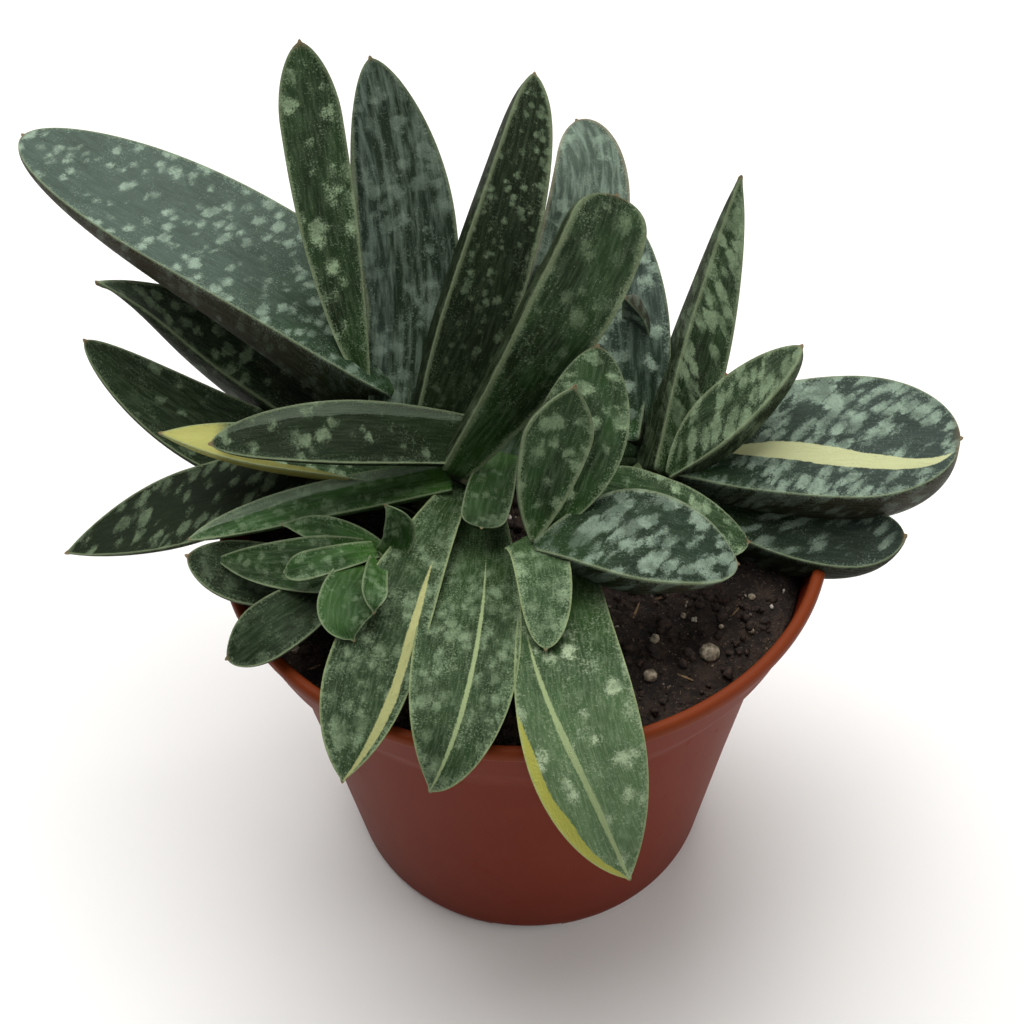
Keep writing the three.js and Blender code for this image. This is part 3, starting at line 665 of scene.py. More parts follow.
# Every leaf, by the name of its CAD node.
LEAVES = {
    "leaf_top_long": leaf((-13, -4.5, 104.5), (8.5, 2, 136.5), (18, 14.5, 154), 16, 7.5, (6, -10, 8),
        "square", keel=0.2, keel_at=-0.9, base=0.35, widest=0.6, taper=0.55),
    "leaf_left_upper": leaf((-8, 3, 106), (-33.5, -4, 116), (-57, -9, 118.5), 12.5, 8, (0, -5, 10),
        "blunt", widest=0.45),
    "leaf_front_short": leaf((-4, 2, 104), (-6, -7, 104), (-8, -17, 103), 9, 4, (0, -5, 10), "square",
        "young", keel=0.2, widest=0.7),
    "leaf_centre_upright": leaf((1.5, -23.5, 105.5), (4.5, -17.5, 117), (9.5, -10.5, 131), 14.5, 5,
        (5, -10, 3), "point", cup=0.1, base=0.1, widest=0.7),
    "leaf_centre_short": leaf((0.5, -19.5, 103), (3, -31, 105), (3, -44, 99.5), 10, 4, (0, -5, 10),
        "round", "front", keel=0.2, base=1, widest=0.5),
    "leaf_centre_striped": leaf((1.5, -24.5, 105.5), (21.5, -23.5, 106.5), (39.5, -22, 96.5), 21.5, 9.5,
        (0, -1, 10), "blunt", "grey", keel=0.2, keel_at=0.8, base=0.1, widest=0.55, taper=0.65),
    "pup_leaf_bright": leaf((-27.5, -20.5, 101.5), (-36.5, -26.5, 105), (-44, -26.5, 102.5), 5.5, 4,
        (0, -5, 10), "round", "young", base=0.65, widest=0.65),
    "pup_leaf_folded": leaf((-27, -24, 102), (-27, -35, 107), (-27, -40, 106), 5, 3, (5, -5, 10),
        "point", "young"),
    "pup_leaf_up": leaf((-26, -22, 101), (-23, -21, 106), (-25, -20, 112), 6, 3, (0, -10, 4), "point",
        "young"),
    "pup_leaf_front": leaf((-28, -23, 101), (-32, -36, 104), (-31, -42, 101), 11, 4, (0, -5, 10),
        "point", "young"),
    "leaf_left_long": leaf((-14, -3, 103), (-41.5, -8.5, 102), (-62.5, -16, 101), 8, 5, (0, -3, 10),
        "blunt", "young", cup=0.05, keel=0.2, base=0.8, widest=0.3),
    "leaf_front_left": leaf((-12, -2, 100), (-25.5, -39, 100), (-33, -63, 88), 15.5, 5, (1, -5, 10),
        "point", "front", base=0.3, widest=0.65),
    "leaf_back_upright": leaf((-17.5, 4.5, 103.5), (-1, 31, 138.5), (4.5, 55, 154.5), 15, 5.5,
        (5, -10, 5), "blunt", cup=0.05, keel_at=-0.9, base=0.6, widest=0.25, taper=0.1),
    "leaf_left_upright": leaf((-29.5, 12, 112.5), (-34.5, 25.5, 131), (-40, 53, 164), 12, 6,
        (1, -10, 3), "blunt", cup=0.1, base=0.1, widest=0.85),
    "leaf_grey_upright": leaf((-22, 5, 103), (-20.5, 29, 128), (-27, 54, 159.5), 19.5, 7, (0, -10, 6),
        "blunt", "grey", base=0.85, widest=0.6, ridges=9, ridge_height=0.35),
    "leaf_right_banded": leaf((28, -0.5, 99), (38, 5, 109.5), (54, 14, 118.5), 13.5, 5.5, (-5, -1, 10),
        "blunt", keel=0.2, keel_at=0.85, base=0.15, widest=0.55, taper=0.3),
    "leaf_right_upright": leaf((29, 1.5, 96.5), (38.5, 25.5, 115), (44.5, 43.5, 137), 11, 9.5,
        (5, -10, 5), "point", keel_at=-0.85, base=0.75, widest=0.3, taper=0.6),
    "leaf_right_broad": leaf((28.5, 3.5, 100.5), (51, 5.5, 102.5), (84.5, 2, 104.5), 31, 9.5,
        (-1, -1, 10), "round", "grey", keel=0.2, keel_at=0.85, base=0.35, widest=0.7, taper=0),
    "leaf_centre_back": leaf((2, -21.5, 104.5), (10, -12, 118.5), (14, 0, 131.5), 17, 6, (0, -10, 4),
        "blunt", cup=0.05, base=0.15),
    "leaf_centre_low": leaf((10, -8, 102), (21, -15.5, 105.5), (42.5, -14.5, 94.5), 16.5, 6,
        (0, -2, 10), "blunt", keel=0.2, base=1, widest=0.7),
    "leaf_back_slim": leaf((22, 9.5, 99.5), (23.5, 25, 111.5), (20, 17.5, 128.5), 6, 6, (-6, -10, 6),
        "point", "grey", keel=0.4, base=0.4),
    "leaf_front_middle": leaf((-9, -7, 95), (-12, -51, 98), (-18, -64, 85.5), 19, 5, (0, -5, 10),
        "point", "front", keel=0.2, base=0.6, widest=0.35, rib=0.1),
    "leaf_front_right": leaf((6.5, -22, 96), (8.5, -59.5, 95.5), (16.5, -74.5, 72.5), 21, 6,
        (0, -6, 10), "point", "front", base=0.65, widest=0.55, rib=0.3),
    "leaf_left_yellow": leaf((-16, 2.5, 99.5), (-44, 2.5, 106), (-68.5, 2, 111.5), 12.5, 6, (0, 0, 10),
        "point", base=1, widest=0.5),
    "leaf_back_left": leaf((-22, 11, 106.5), (-36, 29, 120), (-99, 62, 139.5), 34, 18.5, (4.5, -1, 10),
        "round", "grey", cup=0.05, keel=0.2, keel_at=-0.85, base=0.15, widest=0.7, taper=0.85),
    "leaf_back_grey": leaf((22, 10, 94), (22.5, 22.5, 112.5), (21.5, 41, 130), 15, 6, (1, -10, 6),
        "round", "grey", keel=0.2, widest=0.45),
    "leaf_back_round": leaf((-8.5, 9, 94), (12.5, 36.5, 125.5), (13, 61.5, 139.5), 17, 7, (2, -10, 6),
        "round", "grey", keel=0.2),
    "leaf_left_high": leaf((-20.5, 6, 96), (-55.5, 34, 105), (-81.5, 28.5, 127.5), 18, 16, (1, -1, 10),
        "point", cup=0.05, keel_at=-0.7, base=0.75, widest=0.45, taper=0.95),
    "leaf_left_middle": leaf((-21, 8, 93), (-54.5, 13.5, 97), (-86, 26.5, 114.5), 20.5, 7, (1, -1, 10),
        "blunt", cup=0.05, widest=0.4),
    "leaf_left_low": leaf((-20.5, 6.5, 91.5), (-44.5, 2, 99), (-88.5, -9.5, 91.5), 18, 7, (0, -1, 10),
        "point", cup=0.05, base=0.9, widest=0.75),
    "pup_leaf_thin": leaf((-28, -17, 97), (-36, -15, 100.5), (-45, -14, 102), 6, 3, (0, -5, 10),
        "point", "young"),
    "pup_leaf_left": leaf((-28, -18.5, 96.5), (-42.5, -23, 100.5), (-58, -18, 97.5), 11, 4, (0, -5, 10),
        "point", "young", widest=0.35),
    "pup_leaf_side": leaf((-30, -17, 92.5), (-47, -20, 94.5), (-63, -19, 99.5), 13.5, 5, (0, -3, 10),
        "blunt", base=0.7, widest=0.6),
    "pup_leaf_low": leaf((-31.5, -16, 91.5), (-42.5, -31.5, 97), (-55, -37.5, 91.5), 11.5, 5,
        (0, -3, 10), "blunt", base=0.35, widest=0.7),
    "leaf_right_low": leaf((30, 1.5, 92), (56.5, -11, 92.5), (71.5, -16.5, 97), 15, 13, (-1, -1, 10),
        "blunt", "grey", cup=0.05, keel_at=0.8, base=0.4, widest=0.6, taper=0.95),
    "leaf_rear_left": leaf((-18, 11, 90), (-30, 38, 101), (-34, 60, 107), 17, 6, (0, -3, 10), "blunt"),
    "leaf_rear_middle": leaf((-11, 12, 90), (-7, 40, 100), (-5, 62, 104), 17, 6, (0, -3, 10), "blunt"),
    "leaf_rear_right": leaf((24, 10, 89), (24, 38, 97), (23, 56, 99), 16, 6, (0, -3, 10), "blunt"),
    "leaf_rear_low_right": leaf((30, 7, 88), (46, 20, 94), (58, 28, 95), 14, 5, (0, -1, 10), "blunt"),
    "leaf_rear_low_left": leaf((-21, 9, 89), (-42, 30, 97), (-58, 44, 101), 15, 6, (0, -1, 10),
        "blunt"),
}

# Each leaf's own skin settings, on top of those of its kind; shade is painted shade where a leaf lies in
# its neighbours' shadow.
LOOKS = {
    "leaf_top_long": {"shade": 0.2, "spots": LARGE_SPOTS, "spot_strength": 0.35, "line": 0.9},
    "leaf_left_upper": {"shade": 0.7, "spots": SPARSE_ROUND_SPOTS, "spot_strength": 0.75,
        "stipple_strength": 0.3, "brush_strength": 0.05,
        "bands": ((0.8, 0.8, 0.0, 1.7, 0.02, 1.0, GREY_BAND),)},
    "leaf_front_short": {"shade": 0.3},
    "leaf_centre_upright": {"shade": 0.15, "spot_strength": 0.5, "line": 0.8},
    "leaf_centre_striped": {"shade": 0.2, "spots": BANDED_SPOTS, "spot_strength": 0.8, "bloom_tip": 0.3,
        "line": 0.6},
    "leaf_left_long": {"shade": 0.15, "bands": ((0.7, 0.7, 0.0, 1.3, 0.02, 1.0, GREY_BAND),)},
    "leaf_front_left": {"shade": 0.3, "brown": 0.6,
        "stripes": ((-0.5, -0.65, -0.1, 0.95, 0.26, 1.02, BUTTER),)},
    "leaf_back_upright": {"shade": 0.75, "spots": SPARSE_SMALL_SPOTS, "spot_strength": 0.95,
        "spots_from": 0.6, "line": 0.7},
    "leaf_left_upright": {"shade": 0.28, "spots": LARGE_SPOTS, "spot_strength": 1.0, "line": 0.6,
        "brown": 2.5},
    "leaf_grey_upright": {"shade": 0.45, "spot_strength": 0.45,
        "brushed": {"Width": 1.6, "Length": 11.0, "Slant": 0.04}, "brush_strength": 0.35, "groove": 0.6,
        "bloom_and_sheen": paint(84, 98, 88), "bloom_tip": 0.7, "line": 0.6,
        "bands": ((-0.65, -0.7, 0.0, 2.8, 0.2, 1.0, paint(66, 80, 74)),)},
    "leaf_right_banded": {"shade": 0.4, "spots": BANDED_SPOTS, "spot_strength": 0.7, "line": 0.6},
    "leaf_right_upright": {"shade": 0.25, "spots": BANDED_SPOTS, "spot_strength": 0.75, "line": 0.6},
    "leaf_right_broad": {"shade": 0.2, "spots": BANDED_SPOTS, "spot_strength": 0.8, "brown": 2.5,
        "stripes": ((0.14, 0.64, -0.09, 2.4, 0.24, 0.98, CREAM),)},
    "leaf_front_middle": {"shade": 0.25, "stripes": ((-0.27, 0.05, 0.0, 0.5, 0.1, 1.05, PALE_RIB),)},
    # Its paler veil towards the hanging tip is painted light, brightening the part that faces the front.
    "leaf_front_right": {"spots": LARGE_SPOTS, "spot": paint(170, 188, 154), "spot_strength": 1.0,
        "stipple_strength": 0.4, "bloom_and_sheen": paint(104, 130, 92), "bloom_tip": 0.6,
        "stripes": ((0.8, 0.0, -0.22, 0.65, 0.18, 1.05, PALE_RIB), (1.0, 1.0, 0.0, 2.5, 0.42, 1.0, OLIVE))},
    "leaf_left_yellow": {"stripes": ((-1.0, -1.0, 0.0, 2.0, 0.3, 1.0, DARK_OLIVE),),
        "yellow_tip": 14.0},
    "leaf_back_left": {"spots": STREAKY_SPOTS, "spot_strength": 0.8, "spots_from": 0.9,
        "face": paint(30, 54, 28), "bloom_and_sheen": paint(76, 90, 82), "bloom_from": 0.42, "bloom_tip": 0.95},
    "leaf_back_grey": {"brushed": {"Width": 1.1, "Length": 7.0}, "brush_strength": 0.2, "groove": 0.25},
    "leaf_back_round": {"spot_strength": 0.45, "brushed": {"Width": 1.1, "Length": 7.0},
        "brush_strength": 0.3, "groove": 0.3, "bloom_and_sheen": paint(86, 100, 90), "bloom_tip": 0.95,
        "line": 0.6, "margin": paint(150, 142, 116)},
    "leaf_left_high": {"shade": 0.45, "line": 0.6},
    "leaf_left_middle": {"shade": 0.65, "spots": SPARSE_ROUND_SPOTS, "spot_strength": 0.6,
        "stipple_strength": 0.3},
    "leaf_left_low": {"shade": 0.82, "spots": SPARSE_BANDED_SPOTS, "spot_strength": 0.75,
        "spots_from": 0.8, "stipple_strength": 0.12, "brush_strength": 0.03},
    "pup_leaf_left": {"shade": 0.4},
    "pup_leaf_side": {"shade": 0.6, "spot_strength": 0.25, "stipple_strength": 0.35},
    "pup_leaf_low": {"shade": 0.5, "spot_strength": 0.25, "stipple_strength": 0.35},
    "leaf_right_low": {"shade": 0.5, "spots": SPARSE_BANDED_SPOTS, "spot_strength": 0.7},
}


def make_leaves():
    for number, (name, shape) in enumerate(LEAVES.items()):
        chance = random.Random(100 + number)
        draw = [chance.random() for _ in range(8)]
        mesh = leaf_mesh(name + "_fine", shape, draw)
        look = {**SKINS[shape["skin"]], **LOOKS.get(name, {})}
        skin = leaf_skin(name.replace("leaf", "skin"), look, number + 1)
        striped = "stripes" in look and shape["skin"] != "grey"
        slot = "leaf_striped" if striped else SLOTS[shape["skin"]]
        show(name + "_fine", mesh, skin, slot, name)


# ---- pot ----
POT = {
    "wall_steps": 168, "floor": 2.0, "floor_radius": 30, "fillet": 1.6, "foot_edge": 0.3,
    "sharp_from": 50,  # degrees
}
# The wall's outline as (radius, height): up the outside from the foot, then down the inside.
OUTER = [
    (38.4, 0), (38.5, 0.2), (39.4, 2), (44.9, 35), (51, 69), (56.2, 77.6), (58.6, 87), (60, 87.5),
    (60, 89.3), (59.4, 90),
]
INNER = [(58.2, 90), (57.6, 89.3), (57.1, 86), (54.9, 77.6), (49.7, 69), (43.6, 35), (38, 3), (36, 2)]
DRAIN = {"count": 8, "radius": 3.0, "ring": 26.0, "sides": 32, "beyond": 1}
NOTCH = {"count": 4, "width": 15.0, "height": 1.5, "depth": 6.0, "first": -math.pi / 2 - 0.04}
FILLET_STEPS = 4


def rounded(outline, radius):
    """The outline with each inner corner turned into a short arc."""
    made = [outline[0]]
    for before, corner, after in zip(outline, outline[1:], outline[2:]):
        here = Vector(corner)
        back, on = Vector(before) - here, Vector(after) - here
        start = here + back.normalized() * min(radius, 0.4 * back.length)
        stop = here + on.normalized() * min(radius, 0.4 * on.length)
        for step in range(FILLET_STEPS + 1):
            u = step / FILLET_STEPS
            made.append(tuple((1 - u) ** 2 * start + 2 * u * (1 - u) * here + u**2 * stop))
    made.append(outline[-1])
    return made


def turned_mesh(name, outline, steps, at=(0.0, 0.0), wobble=None):
    """An outline of (radius, height) turned about an upright axis; it starts and ends on the axis."""
    vertices, faces = [], []
    ring = outline[1:-1]
    for radius, height in ring:
        for step in range(steps):
            angle = 2 * math.pi * step / steps
            point = [at[0] + radius * math.cos(angle), at[1] + radius * math.sin(angle), height]
            if wobble:
                point = wobble(point, angle)
            vertices.append([value * MM for value in point])
    foot, head = len(vertices), len(vertices) + 1
    vertices.append([at[0] * MM, at[1] * MM, outline[0][1] * MM])
    vertices.append([at[0] * MM, at[1] * MM, outline[-1][1] * MM])
    for step in range(steps):
        following = (step + 1) % steps
        faces.append((foot, following, step))
        for row in range(len(ring) - 1):
            low, high = row * steps, (row + 1) * steps
            faces.append((low + step, low + following, high + following, high + step))
        top = (len(ring) - 1) * steps
        faces.append((top + step, top + following, head))
    return mesh_of(name, vertices, faces)


def block(centre, size, turn):
    """Corners and faces of a block turned about the pot's axis."""
    spin = Matrix.Rotation(turn, 3, "Z")
    half = Vector(size) / 2
    corners = []
    for z in (-1, 1):
        for x, y in ((-1, -1), (1, -1), (1, 1), (-1, 1)):
            corners.append(spin @ (Vector(centre) + Vector((x * half.x, y * half.y, z * half.z))) * MM)
    sides = [(3, 2, 1, 0), (4, 5, 6, 7), (0, 1, 5, 4), (1, 2, 6, 5), (2, 3, 7, 6), (3, 0, 4, 7)]
    return corners, sides


def cutters():
    """The drain holes and foot notches, as one mesh of separate closed shapes."""
    vertices, faces = [], []
    for i in range(NOTCH["count"]):
        turn = NOTCH["first"] + i * 2 * math.pi / NOTCH["count"]
        size = (NOTCH["depth"], NOTCH["width"], 2 * NOTCH["height"])
        corners, sides = block((OUTER[0][0], 0, 0), size, turn)
        faces += [[index + len(vertices) for index in side] for side in sides]
        vertices += corners
    sides = DRAIN["sides"]
    for i in range(DRAIN["count"]):
        angle = (i + 0.5) * 2 * math.pi / DRAIN["count"]
        middle = Vector((DRAIN["ring"] * math.cos(angle), DRAIN["ring"] * math.sin(angle), 0))
        start = len(vertices)
        for height in (-DRAIN["beyond"], POT["floor"] + DRAIN["beyond"]):
            for step in range(sides):
                turn = 2 * math.pi * step / sides
                offset = DRAIN["radius"] * Vector((math.cos(turn), math.sin(turn), 0))
                vertices.append((middle + offset + Vector((0, 0, height))) * MM)
        faces.append([start + step for step in reversed(range(sides))])
        faces.append([start + sides + step for step in range(sides)])
        for step in range(sides):
            following = (step + 1) % sides
            faces.append([start + step, start + following, start + sides + following, start + sides + step])
    return mesh_of("pot_cutters", vertices, faces)


def cut(mesh, cutting):
    """The mesh with the cutting shapes taken out of it."""
    blank = bpy.data.objects.new("pot_blank", mesh)
    tool = bpy.data.objects.new("pot_cutters", cutting)
    for made in (blank, tool):
        bpy.context.scene.collection.objects.link(made)
    change = blank.modifiers.new("holes", "BOOLEAN")
    change.operation = "DIFFERENCE"
    change.solver = "EXACT"
    change.object = tool
    bpy.context.view_layer.update()
    ready = blank.evaluated_get(bpy.context.evaluated_depsgraph_get())
    result = bpy.data.meshes.new_from_object(ready)
    for made in (blank, tool):
        bpy.data.objects.remove(made)
    return result


# The lip's colour is painted light: brighter and more orange for the top light and the glow through the
# thin plastic.
PLASTIC = {"wall": paint(104, 36, 17), "lip": paint(112, 48, 20), "worn": paint(124, 54, 34)}
PLASTIC_SHEEN = 0.08
# The heights in metres between which the wall turns into the lip's painted light.
LIP_FROM = 0.0852
LIP_FULL = 0.0885


def pot_plastic():
    """Satin moulded plastic; its lip is painted brighter and more orange, painted light for the top light
    and the glow through the thin plastic.
    """
    material, tree, shader = new_material("terracotta_plastic")
    place = put(tree, "ShaderNodeTexCoord").outputs["Object"]
    height = put(tree, "ShaderNodeSeparateXYZ", {0: place}).outputs["Z"]
    # The lip's painted light, rising with height.
    lip = ramp(tree, height, LIP_FROM, LIP_FULL)
    flow = use(tree, SPECKLE, {"Place": place, "Size": 0.02, "Low": 0.3, "High": 0.7})
    grain = use(tree, SPECKLE, {"Place": place, "Size": 0.0006, "Low": 0.35, "High": 0.75})
    scuffs = use(tree, SPECKLE, {"Place": place, "Size": 0.004, "Low": 0.6, "High": 0.75})
    colour = mix(tree, lip, PLASTIC["wall"], PLASTIC["lip"])
    colour = mix(tree, sums(tree, "MULTIPLY", flow, 0.12), colour, PLASTIC["worn"])
    colour = mix(tree, sums(tree, "MULTIPLY", scuffs, 0.06), colour, PLASTIC["worn"])
    relief = sums(tree, "MULTIPLY_ADD", grain, 0.4, sums(tree, "MULTIPLY", flow, 0.6))
    roughness = ramp(tree, scuffs, 0.0, 1.0, 0.5, 0.6)
    finish_skin(tree, shader, colour, roughness, relief, strength=0.25, depth=0.0001)
    shader.inputs["Specular IOR Level"].default_value = PLASTIC_SHEEN
    return material


def make_pot():
    under, over = (POT["floor_radius"], 0), (POT["floor_radius"], POT["floor"])
    foot = (OUTER[0][0] - POT["foot_edge"], 0)
    wall = rounded([under, foot, *OUTER, *INNER, over], POT["fillet"])
    outline = [(0, 0), *wall, (0, POT["floor"])]
    mesh = cut(turned_mesh("pot_fine", outline, POT["wall_steps"]), cutters())
    piece = show("pot_fine", mesh, pot_plastic(), "pot_plastic", "pot")
    piece.data.set_sharp_from_angle(angle=math.radians(POT["sharp_from"]))


# ---- soil ----
SOIL_TOP = 82.0
SOIL_EDGE = 55.2
SOIL_RING = 0.7  # between one ring of the loose surface and the next
SOIL_STEPS = 220
SOIL_RISE = 0.3
SOIL_SHOULDER = 2.5  # how far below the surface the soil's side ends
SOIL_WAVES = (0.6, 0.5, 0.4, 0.25)  # heights of the loose surface's waves, from slow to finest
SOIL_BANK = {"breadth": 4, "drop": 1.2, "calm": 0.6}  # where the surface falls away at the pot's wall
GAP = 0.3  # left between any two pieces that would touch
# Each stem: where it stands, its radius, and the height of its head.
STEMS = {
    "stem_main": ((-15, 4), 8.5, 99),
    "stem_right": ((25, 4), 6.5, 97),
    "stem_centre": ((4, -18), 5, 98),
    "stem_pup": ((-28, -19), 3.2, 99),
}
STEM_FOOT = 74.0
STEM_HEAD = 8
HEAD_ROWS = [(0.85, 4), (0.5, 1), (0, 0)]  # the rounded head: share of the radius, depth below its top
STEM_ROWS = 26
STEM_STEPS = 48
STEM_RINGS = 0.3  # how far the leaf scars stand out
BARK_INSET = 0.35
SCAR_WAVE = 2400.0  # radians for each metre of height


def soil_height(x, y):
    """The loose surface, in millimetres above the pot's foot."""
    from_axis = math.hypot(x, y)
    slow = math.sin(x * 0.21 + 1) * math.cos(y * 0.17 - 0.5)
    medium = math.sin(x * 0.61 + y * 0.33) * math.sin(y * 0.57 - x * 0.21 + 2)
    fine = math.sin(x * 1.9 + 1.3 * math.sin(y * 1.1)) * math.sin(y * 1.7 + 1.1 * math.sin(x * 1.3))
    finest = math.sin(x * 4.1 + 2 * math.sin(y * 2.3)) * math.sin(y * 3.7 + 2 * math.sin(x * 2.9))
    bank = min(1.0, max(0.0, 1 - (SOIL_EDGE - from_axis) / SOIL_BANK["breadth"]))
    relief = sum(size * wave for size, wave in zip(SOIL_WAVES, (slow, medium, fine, finest)))
    return SOIL_TOP + SOIL_RISE + relief * (1 - SOIL_BANK["calm"] * bank) - SOIL_BANK["drop"] * bank**2


def make_soil():
    inside = [(radius - GAP, height) for radius, height in reversed(INNER[3:7])]
    foot = POT["floor"] + GAP
    outline = [(0, foot), (INNER[-1][0] - GAP, foot), *inside, (SOIL_EDGE + GAP, SOIL_TOP - SOIL_SHOULDER)]
    outline += [(SOIL_EDGE - SOIL_RING * step, SOIL_TOP) for step in range(int(SOIL_EDGE / SOIL_RING))]
    outline.append((0, SOIL_TOP))

    def loosen(point, angle):
        x, y, height = point
        return x, y, soil_height(x, y) if height == SOIL_TOP else height

    mesh = turned_mesh("soil_fine", outline, SOIL_STEPS, wobble=loosen)
    mesh.vertices[-1].co.z = soil_height(0, 0) * MM
    show("soil_fine", mesh, peat(), "potting_soil", "soil")


def peat():
    """Dark potting peat with brown crumbs and pale dust."""
    material, tree, shader = new_material("peat")
    place = put(tree, "ShaderNodeTexCoord").outputs["Object"]
    lumps = use(tree, SPECKLE, {"Place": place, "Size": 0.004, "Low": 0.35, "High": 0.7})
    crumbs = use(tree, SPECKLE, {"Place": place, "Size": 0.0012, "Low": 0.5, "High": 0.7})
    dust = use(tree, SPECKLE, {"Place": place, "Size": 0.0006, "Low": 0.63, "High": 0.7})
    colour = mix(tree, lumps, paint(20, 14, 11), paint(58, 44, 35))
    colour = mix(tree, crumbs, colour, paint(76, 58, 45))
    colour = mix(tree, sums(tree, "MULTIPLY", dust, 0.6), colour, paint(160, 142, 120))
    relief = sums(tree, "MULTIPLY_ADD", crumbs, 0.6, lumps)
    roughness = ramp(tree, crumbs, 0.0, 1.0, 0.95, 0.75)
    finish_skin(tree, shader, colour, roughness, relief, strength=0.9, depth=0.0008)
    return material


# Single bits on the soil: where each lies, its length, breadth and height, and how it is turned.
PEBBLES = [
    (34, -32.5, (4.2, 4.0, 3.4), 0.3), (22.5, -37.5, (2.8, 2.6, 2.2), 1.1),
    (24, -28.5, (2.2, 1.8, 1.8), 0.7), (43.5, -18.5, (1.6, 1.4, 1.3), 0.2),
    (42.5, -26.5, (1.8, 1.5, 1.4), 2.0), (30, -22, (1.3, 1.2, 1.0), 0.9),
    (37, -25, (1.2, 1.1, 1.0), 0.4), (-44, -28, (2.0, 1.6, 1.4), 0.5), (-36, 34, (2.6, 2.2, 1.9), 1.4),
    (8, 44, (3.2, 2.8, 2.3), 0.2), (38, 28, (2.4, 2.0, 1.8), 0.8), (-14, -46, (1.8, 1.5, 1.3), 0.1),
]
FIBRE_BITS = [
    (21, -21, (4.6, 0.5, 0.5), 1.2), (26, -17.5, (3.4, 0.4, 0.4), 0.3), (29, -38, (3.8, 0.4, 0.4), 2.6),
    (40, -22, (3.0, 0.4, 0.4), 0.9), (-40, -32, (4.0, 0.5, 0.4), 0.4), (4, 47, (5.0, 0.5, 0.5), 2.1),
    (-30, 38, (4.4, 0.5, 0.5), 0.6), (44, 20, (3.6, 0.4, 0.4), 1.7),
]


def pebble_points():
    """The corners and faces of a rough ball of radius 1, from a once divided icosahedron."""
    golden = (1 + 5**0.5) / 2
    corners = []
    for a in (-1, 1):
        for b in (-golden, golden):
            corners += [Vector((a, b, 0)), Vector((0, a, b)), Vector((b, 0, a))]
    corners = [corner.normalized() for corner in corners]
    edge = min((corners[0] - other).length for other in corners[1:]) * 1.01
    faces = []
    for i in range(12):
        for j in range(i + 1, 12):
            for k in range(j + 1, 12):
                a, b, c = corners[i], corners[j], corners[k]
                if max((a - b).length, (b - c).length, (c - a).length) < edge:
                    outward = (b - a).cross(c - a).dot(a) > 0
                    faces.append((i, j, k) if outward else (i, k, j))
    middles, finer = {}, []

    def middle(i, j):
        key = (min(i, j), max(i, j))
        if key not in middles:
            middles[key] = len(corners)
            corners.append(((corners[i] + corners[j]) / 2).normalized())
        return middles[key]

    for i, j, k in faces:
        ij, jk, ki = middle(i, j), middle(j, k), middle(k, i)
        finer += [(i, ij, ki), (j, jk, ij), (k, ki, jk), (ij, jk, ki)]
    return corners, finer


BALL, BALL_FACES = pebble_points()
LOOSE_RADIUS = 53.0  # the loose bits lie within this circle


def add_bit(vertices, faces, centre, spin, size, chance, roughness):
    """Adds one rough ball, drawn out to a size in three directions, to the vertices and faces."""
    start = len(vertices)
    for corner in BALL:
        rough = corner * chance.uniform(*roughness)
        shaped = Vector((rough.x * size[0], rough.y * size[1], rough.z * size[2]))
        vertices.append((centre + spin @ shaped / 2) * MM)
    faces += [[start + index for index in face] for face in BALL_FACES]


def scattered(name, count, sizes, seed, sunk, material):
    """Many rough bits, each sunk into the soil by a share of its size, joined in one piece."""
    chance = random.Random(seed)
    vertices, faces = [], []
    while len(vertices) < count * len(BALL):
        angle = chance.uniform(0, 2 * math.pi)
        from_axis = LOOSE_RADIUS * math.sqrt(chance.random())
        x, y = from_axis * math.cos(angle), from_axis * math.sin(angle)
        if any(math.hypot(x - at[0], y - at[1]) < radius + 1 for at, radius, _ in STEMS.values()):
            continue
        size = sizes[0] + (sizes[1] - sizes[0]) * chance.random() ** 3
        long, wide, high = [size * chance.uniform(0.6, 1.2) for _ in range(3)]
        spin = Matrix.Rotation(chance.uniform(0, 6.28), 3, "Z")
        spin = spin @ Matrix.Rotation(chance.uniform(-0.6, 0.6), 3, "X")
        centre = Vector((x, y, soil_height(x, y) + size * (0.5 - sunk)))
        add_bit(vertices, faces, centre, spin, (long, wide, 0.8 * high), chance, (0.6, 1.3))
    show(name, mesh_of(name, vertices, faces), material, "potting_soil")


def lying(name, bits, seed, material):
    """Single bits placed one by one on the soil, joined in one piece."""
    chance = random.Random(seed)
    vertices, faces = [], []
    for x, y, size, turn in bits:
        spin = Matrix.Rotation(turn, 3, "Z")
        centre = Vector((x, y, soil_height(x, y) + 0.25 * size[2]))
        add_bit(vertices, faces, centre, spin, size, chance, (0.85, 1.12))
    show(name, mesh_of(name, vertices, faces), material, "potting_soil")


def grit(name, light, dark, rough):
    """One kind of loose bit: crumbs, stones, perlite or fibres, patchy between two tones."""
    material, tree, shader = new_material(name)
    place = put(tree, "ShaderNodeTexCoord").outputs["Object"]
    patches = use(tree, SPECKLE, {"Place": place, "Size": 0.0009, "Low": 0.35, "High": 0.65})
    colour = mix(tree, patches, dark, light)
    roughness = ramp(tree, patches, 0.0, 1.0, rough, 0.9)
    finish_skin(tree, shader, colour, roughness, patches, strength=0.6, depth=0.0002)
    return material


def make_bits():
    peat_bits = grit("peat_crumb", paint(64, 48, 38), paint(20, 14, 11), 0.85)
    scattered("soil_crumbs", 1900, (0.5, 2.8), seed=7, sunk=0.35, material=peat_bits)
    quartz = grit("quartz_grit", paint(170, 158, 140), paint(90, 78, 66), 0.6)
    scattered("soil_grit", 230, (0.3, 0.9), seed=11, sunk=0.2, material=quartz)
    perlite = grit("perlite", paint(226, 220, 208), paint(150, 140, 126), 0.8)
    scattered("soil_perlite", 26, (0.8, 2.4), seed=5, sunk=0.3, material=perlite)
    pebbles = grit("grey_pebble", paint(178, 166, 144), paint(104, 94, 78), 0.7)
    lying("soil_pebbles", PEBBLES, seed=23, material=pebbles)
    fibres = grit("pale_fibre", paint(150, 124, 88), paint(96, 76, 52), 0.8)
    lying("soil_fibres", FIBRE_BITS, seed=29, material=fibres)


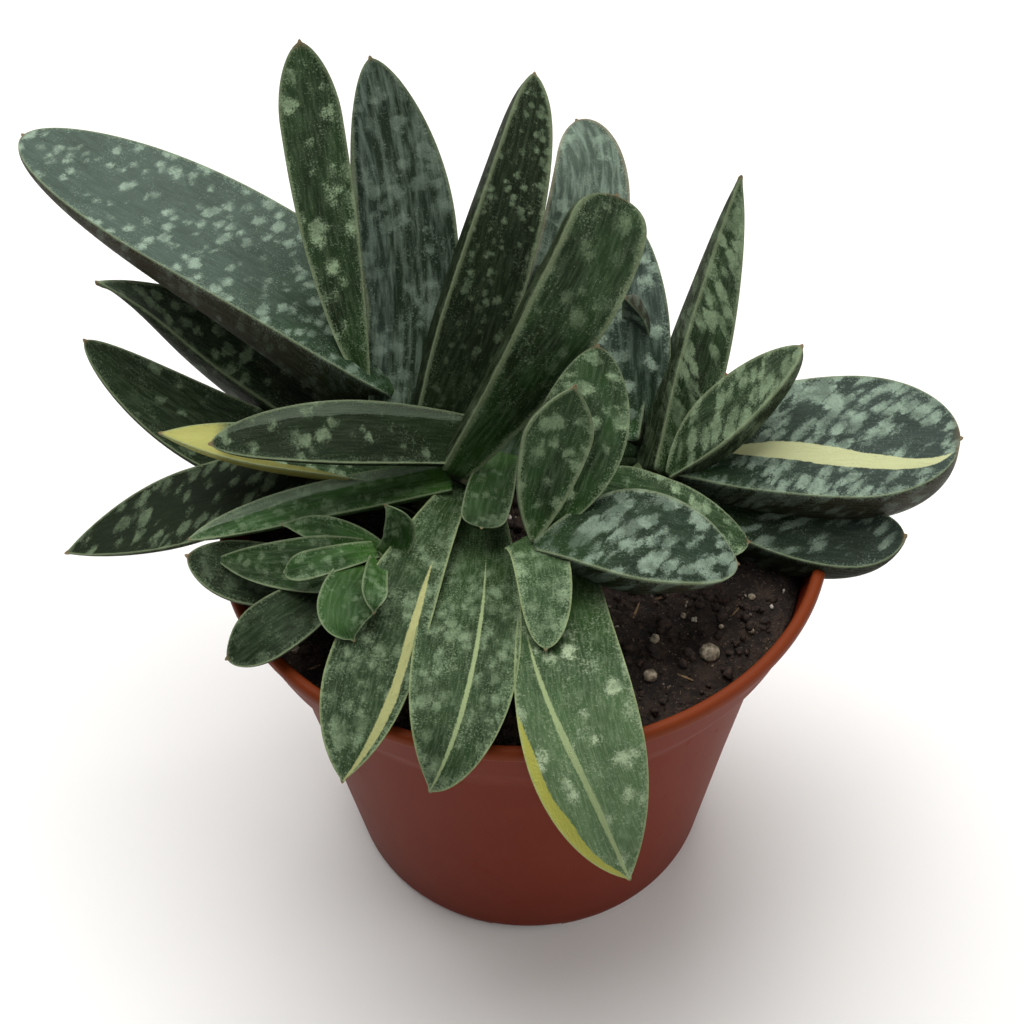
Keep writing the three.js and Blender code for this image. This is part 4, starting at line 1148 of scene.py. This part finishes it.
# ---- stems ----
def stem_bark():
    """Short green stems with pale leaf scars."""
    material, tree, shader = new_material("stem_bark")
    place = put(tree, "ShaderNodeTexCoord").outputs["Object"]
    patches = use(tree, SPECKLE, {"Place": place, "Size": 0.003, "Low": 0.3, "High": 0.7})
    height = put(tree, "ShaderNodeSeparateXYZ", {0: place}).outputs["Z"]
    scars = sums(tree, "SINE", sums(tree, "MULTIPLY", height, SCAR_WAVE))
    colour = mix(tree, patches, paint(52, 70, 40), paint(86, 100, 58))
    colour = mix(tree, ramp(tree, scars, 0.7, 1.0, 0.0, 0.5), colour, paint(128, 112, 80))
    relief = sums(tree, "ADD", patches, scars)
    roughness = ramp(tree, patches, 0.0, 1.0, 0.55, 0.7)
    finish_skin(tree, shader, colour, roughness, relief, strength=0.4, depth=0.0003)
    return material


def make_stems():
    bark = stem_bark()
    for name, (at, radius, top) in STEMS.items():
        outline = [(0, STEM_FOOT), (radius - GAP, STEM_FOOT)]
        for row in range(STEM_ROWS + 1):
            height = STEM_FOOT + 0.5 + (top - STEM_HEAD - STEM_FOOT) * row / STEM_ROWS
            ring = STEM_RINGS * math.sin(SCAR_WAVE * height * MM)
            outline.append((radius - BARK_INSET + ring, height))
        outline += [(radius * share, top - depth) for share, depth in HEAD_ROWS]

        def lean(point, angle):
            x, y, height = point
            swell = 1 + 0.03 * math.sin(3 * angle + 0.4 * height)
            return at[0] + (x - at[0]) * swell * 0.97, at[1] + (y - at[1]) * swell * 0.97, height

        mesh = turned_mesh(name + "_fine", outline, STEM_STEPS, at, lean)
        show(name + "_fine", mesh, bark, "stem_green", name)


# ---- floor ----
# Reach in metres from the middle to each edge; the two tones that it drifts between.
FLOOR = {"reach": 6.0, "tones": ((0.91, 0.91, 0.91, 1.0), (0.94, 0.94, 0.93, 1.0)), "roughness": 0.8}


def make_floor():
    reach = FLOOR["reach"]
    corners = [(-reach, -reach, 0), (reach, -reach, 0), (reach, reach, 0), (-reach, reach, 0)]
    mesh = mesh_of("studio_floor", corners, [(0, 1, 2, 3)])
    floor = bpy.data.objects.new("studio_floor", mesh)
    bpy.context.scene.collection.objects.link(floor)
    material, tree, shader = new_material("pale_floor")
    place = put(tree, "ShaderNodeTexCoord").outputs["Object"]
    tone = use(tree, SPECKLE, {"Place": place, "Size": 0.4, "Low": 0.2, "High": 0.8})
    tree.links.new(mix(tree, tone, *FLOOR["tones"]), shader.inputs["Base Color"])
    shader.inputs["Roughness"].default_value = FLOOR["roughness"]
    mesh.materials.append(material)


set_camera()
set_lights()
set_room()
make_floor()
make_leaves()
make_pot()
make_soil()
make_bits()
make_stems()
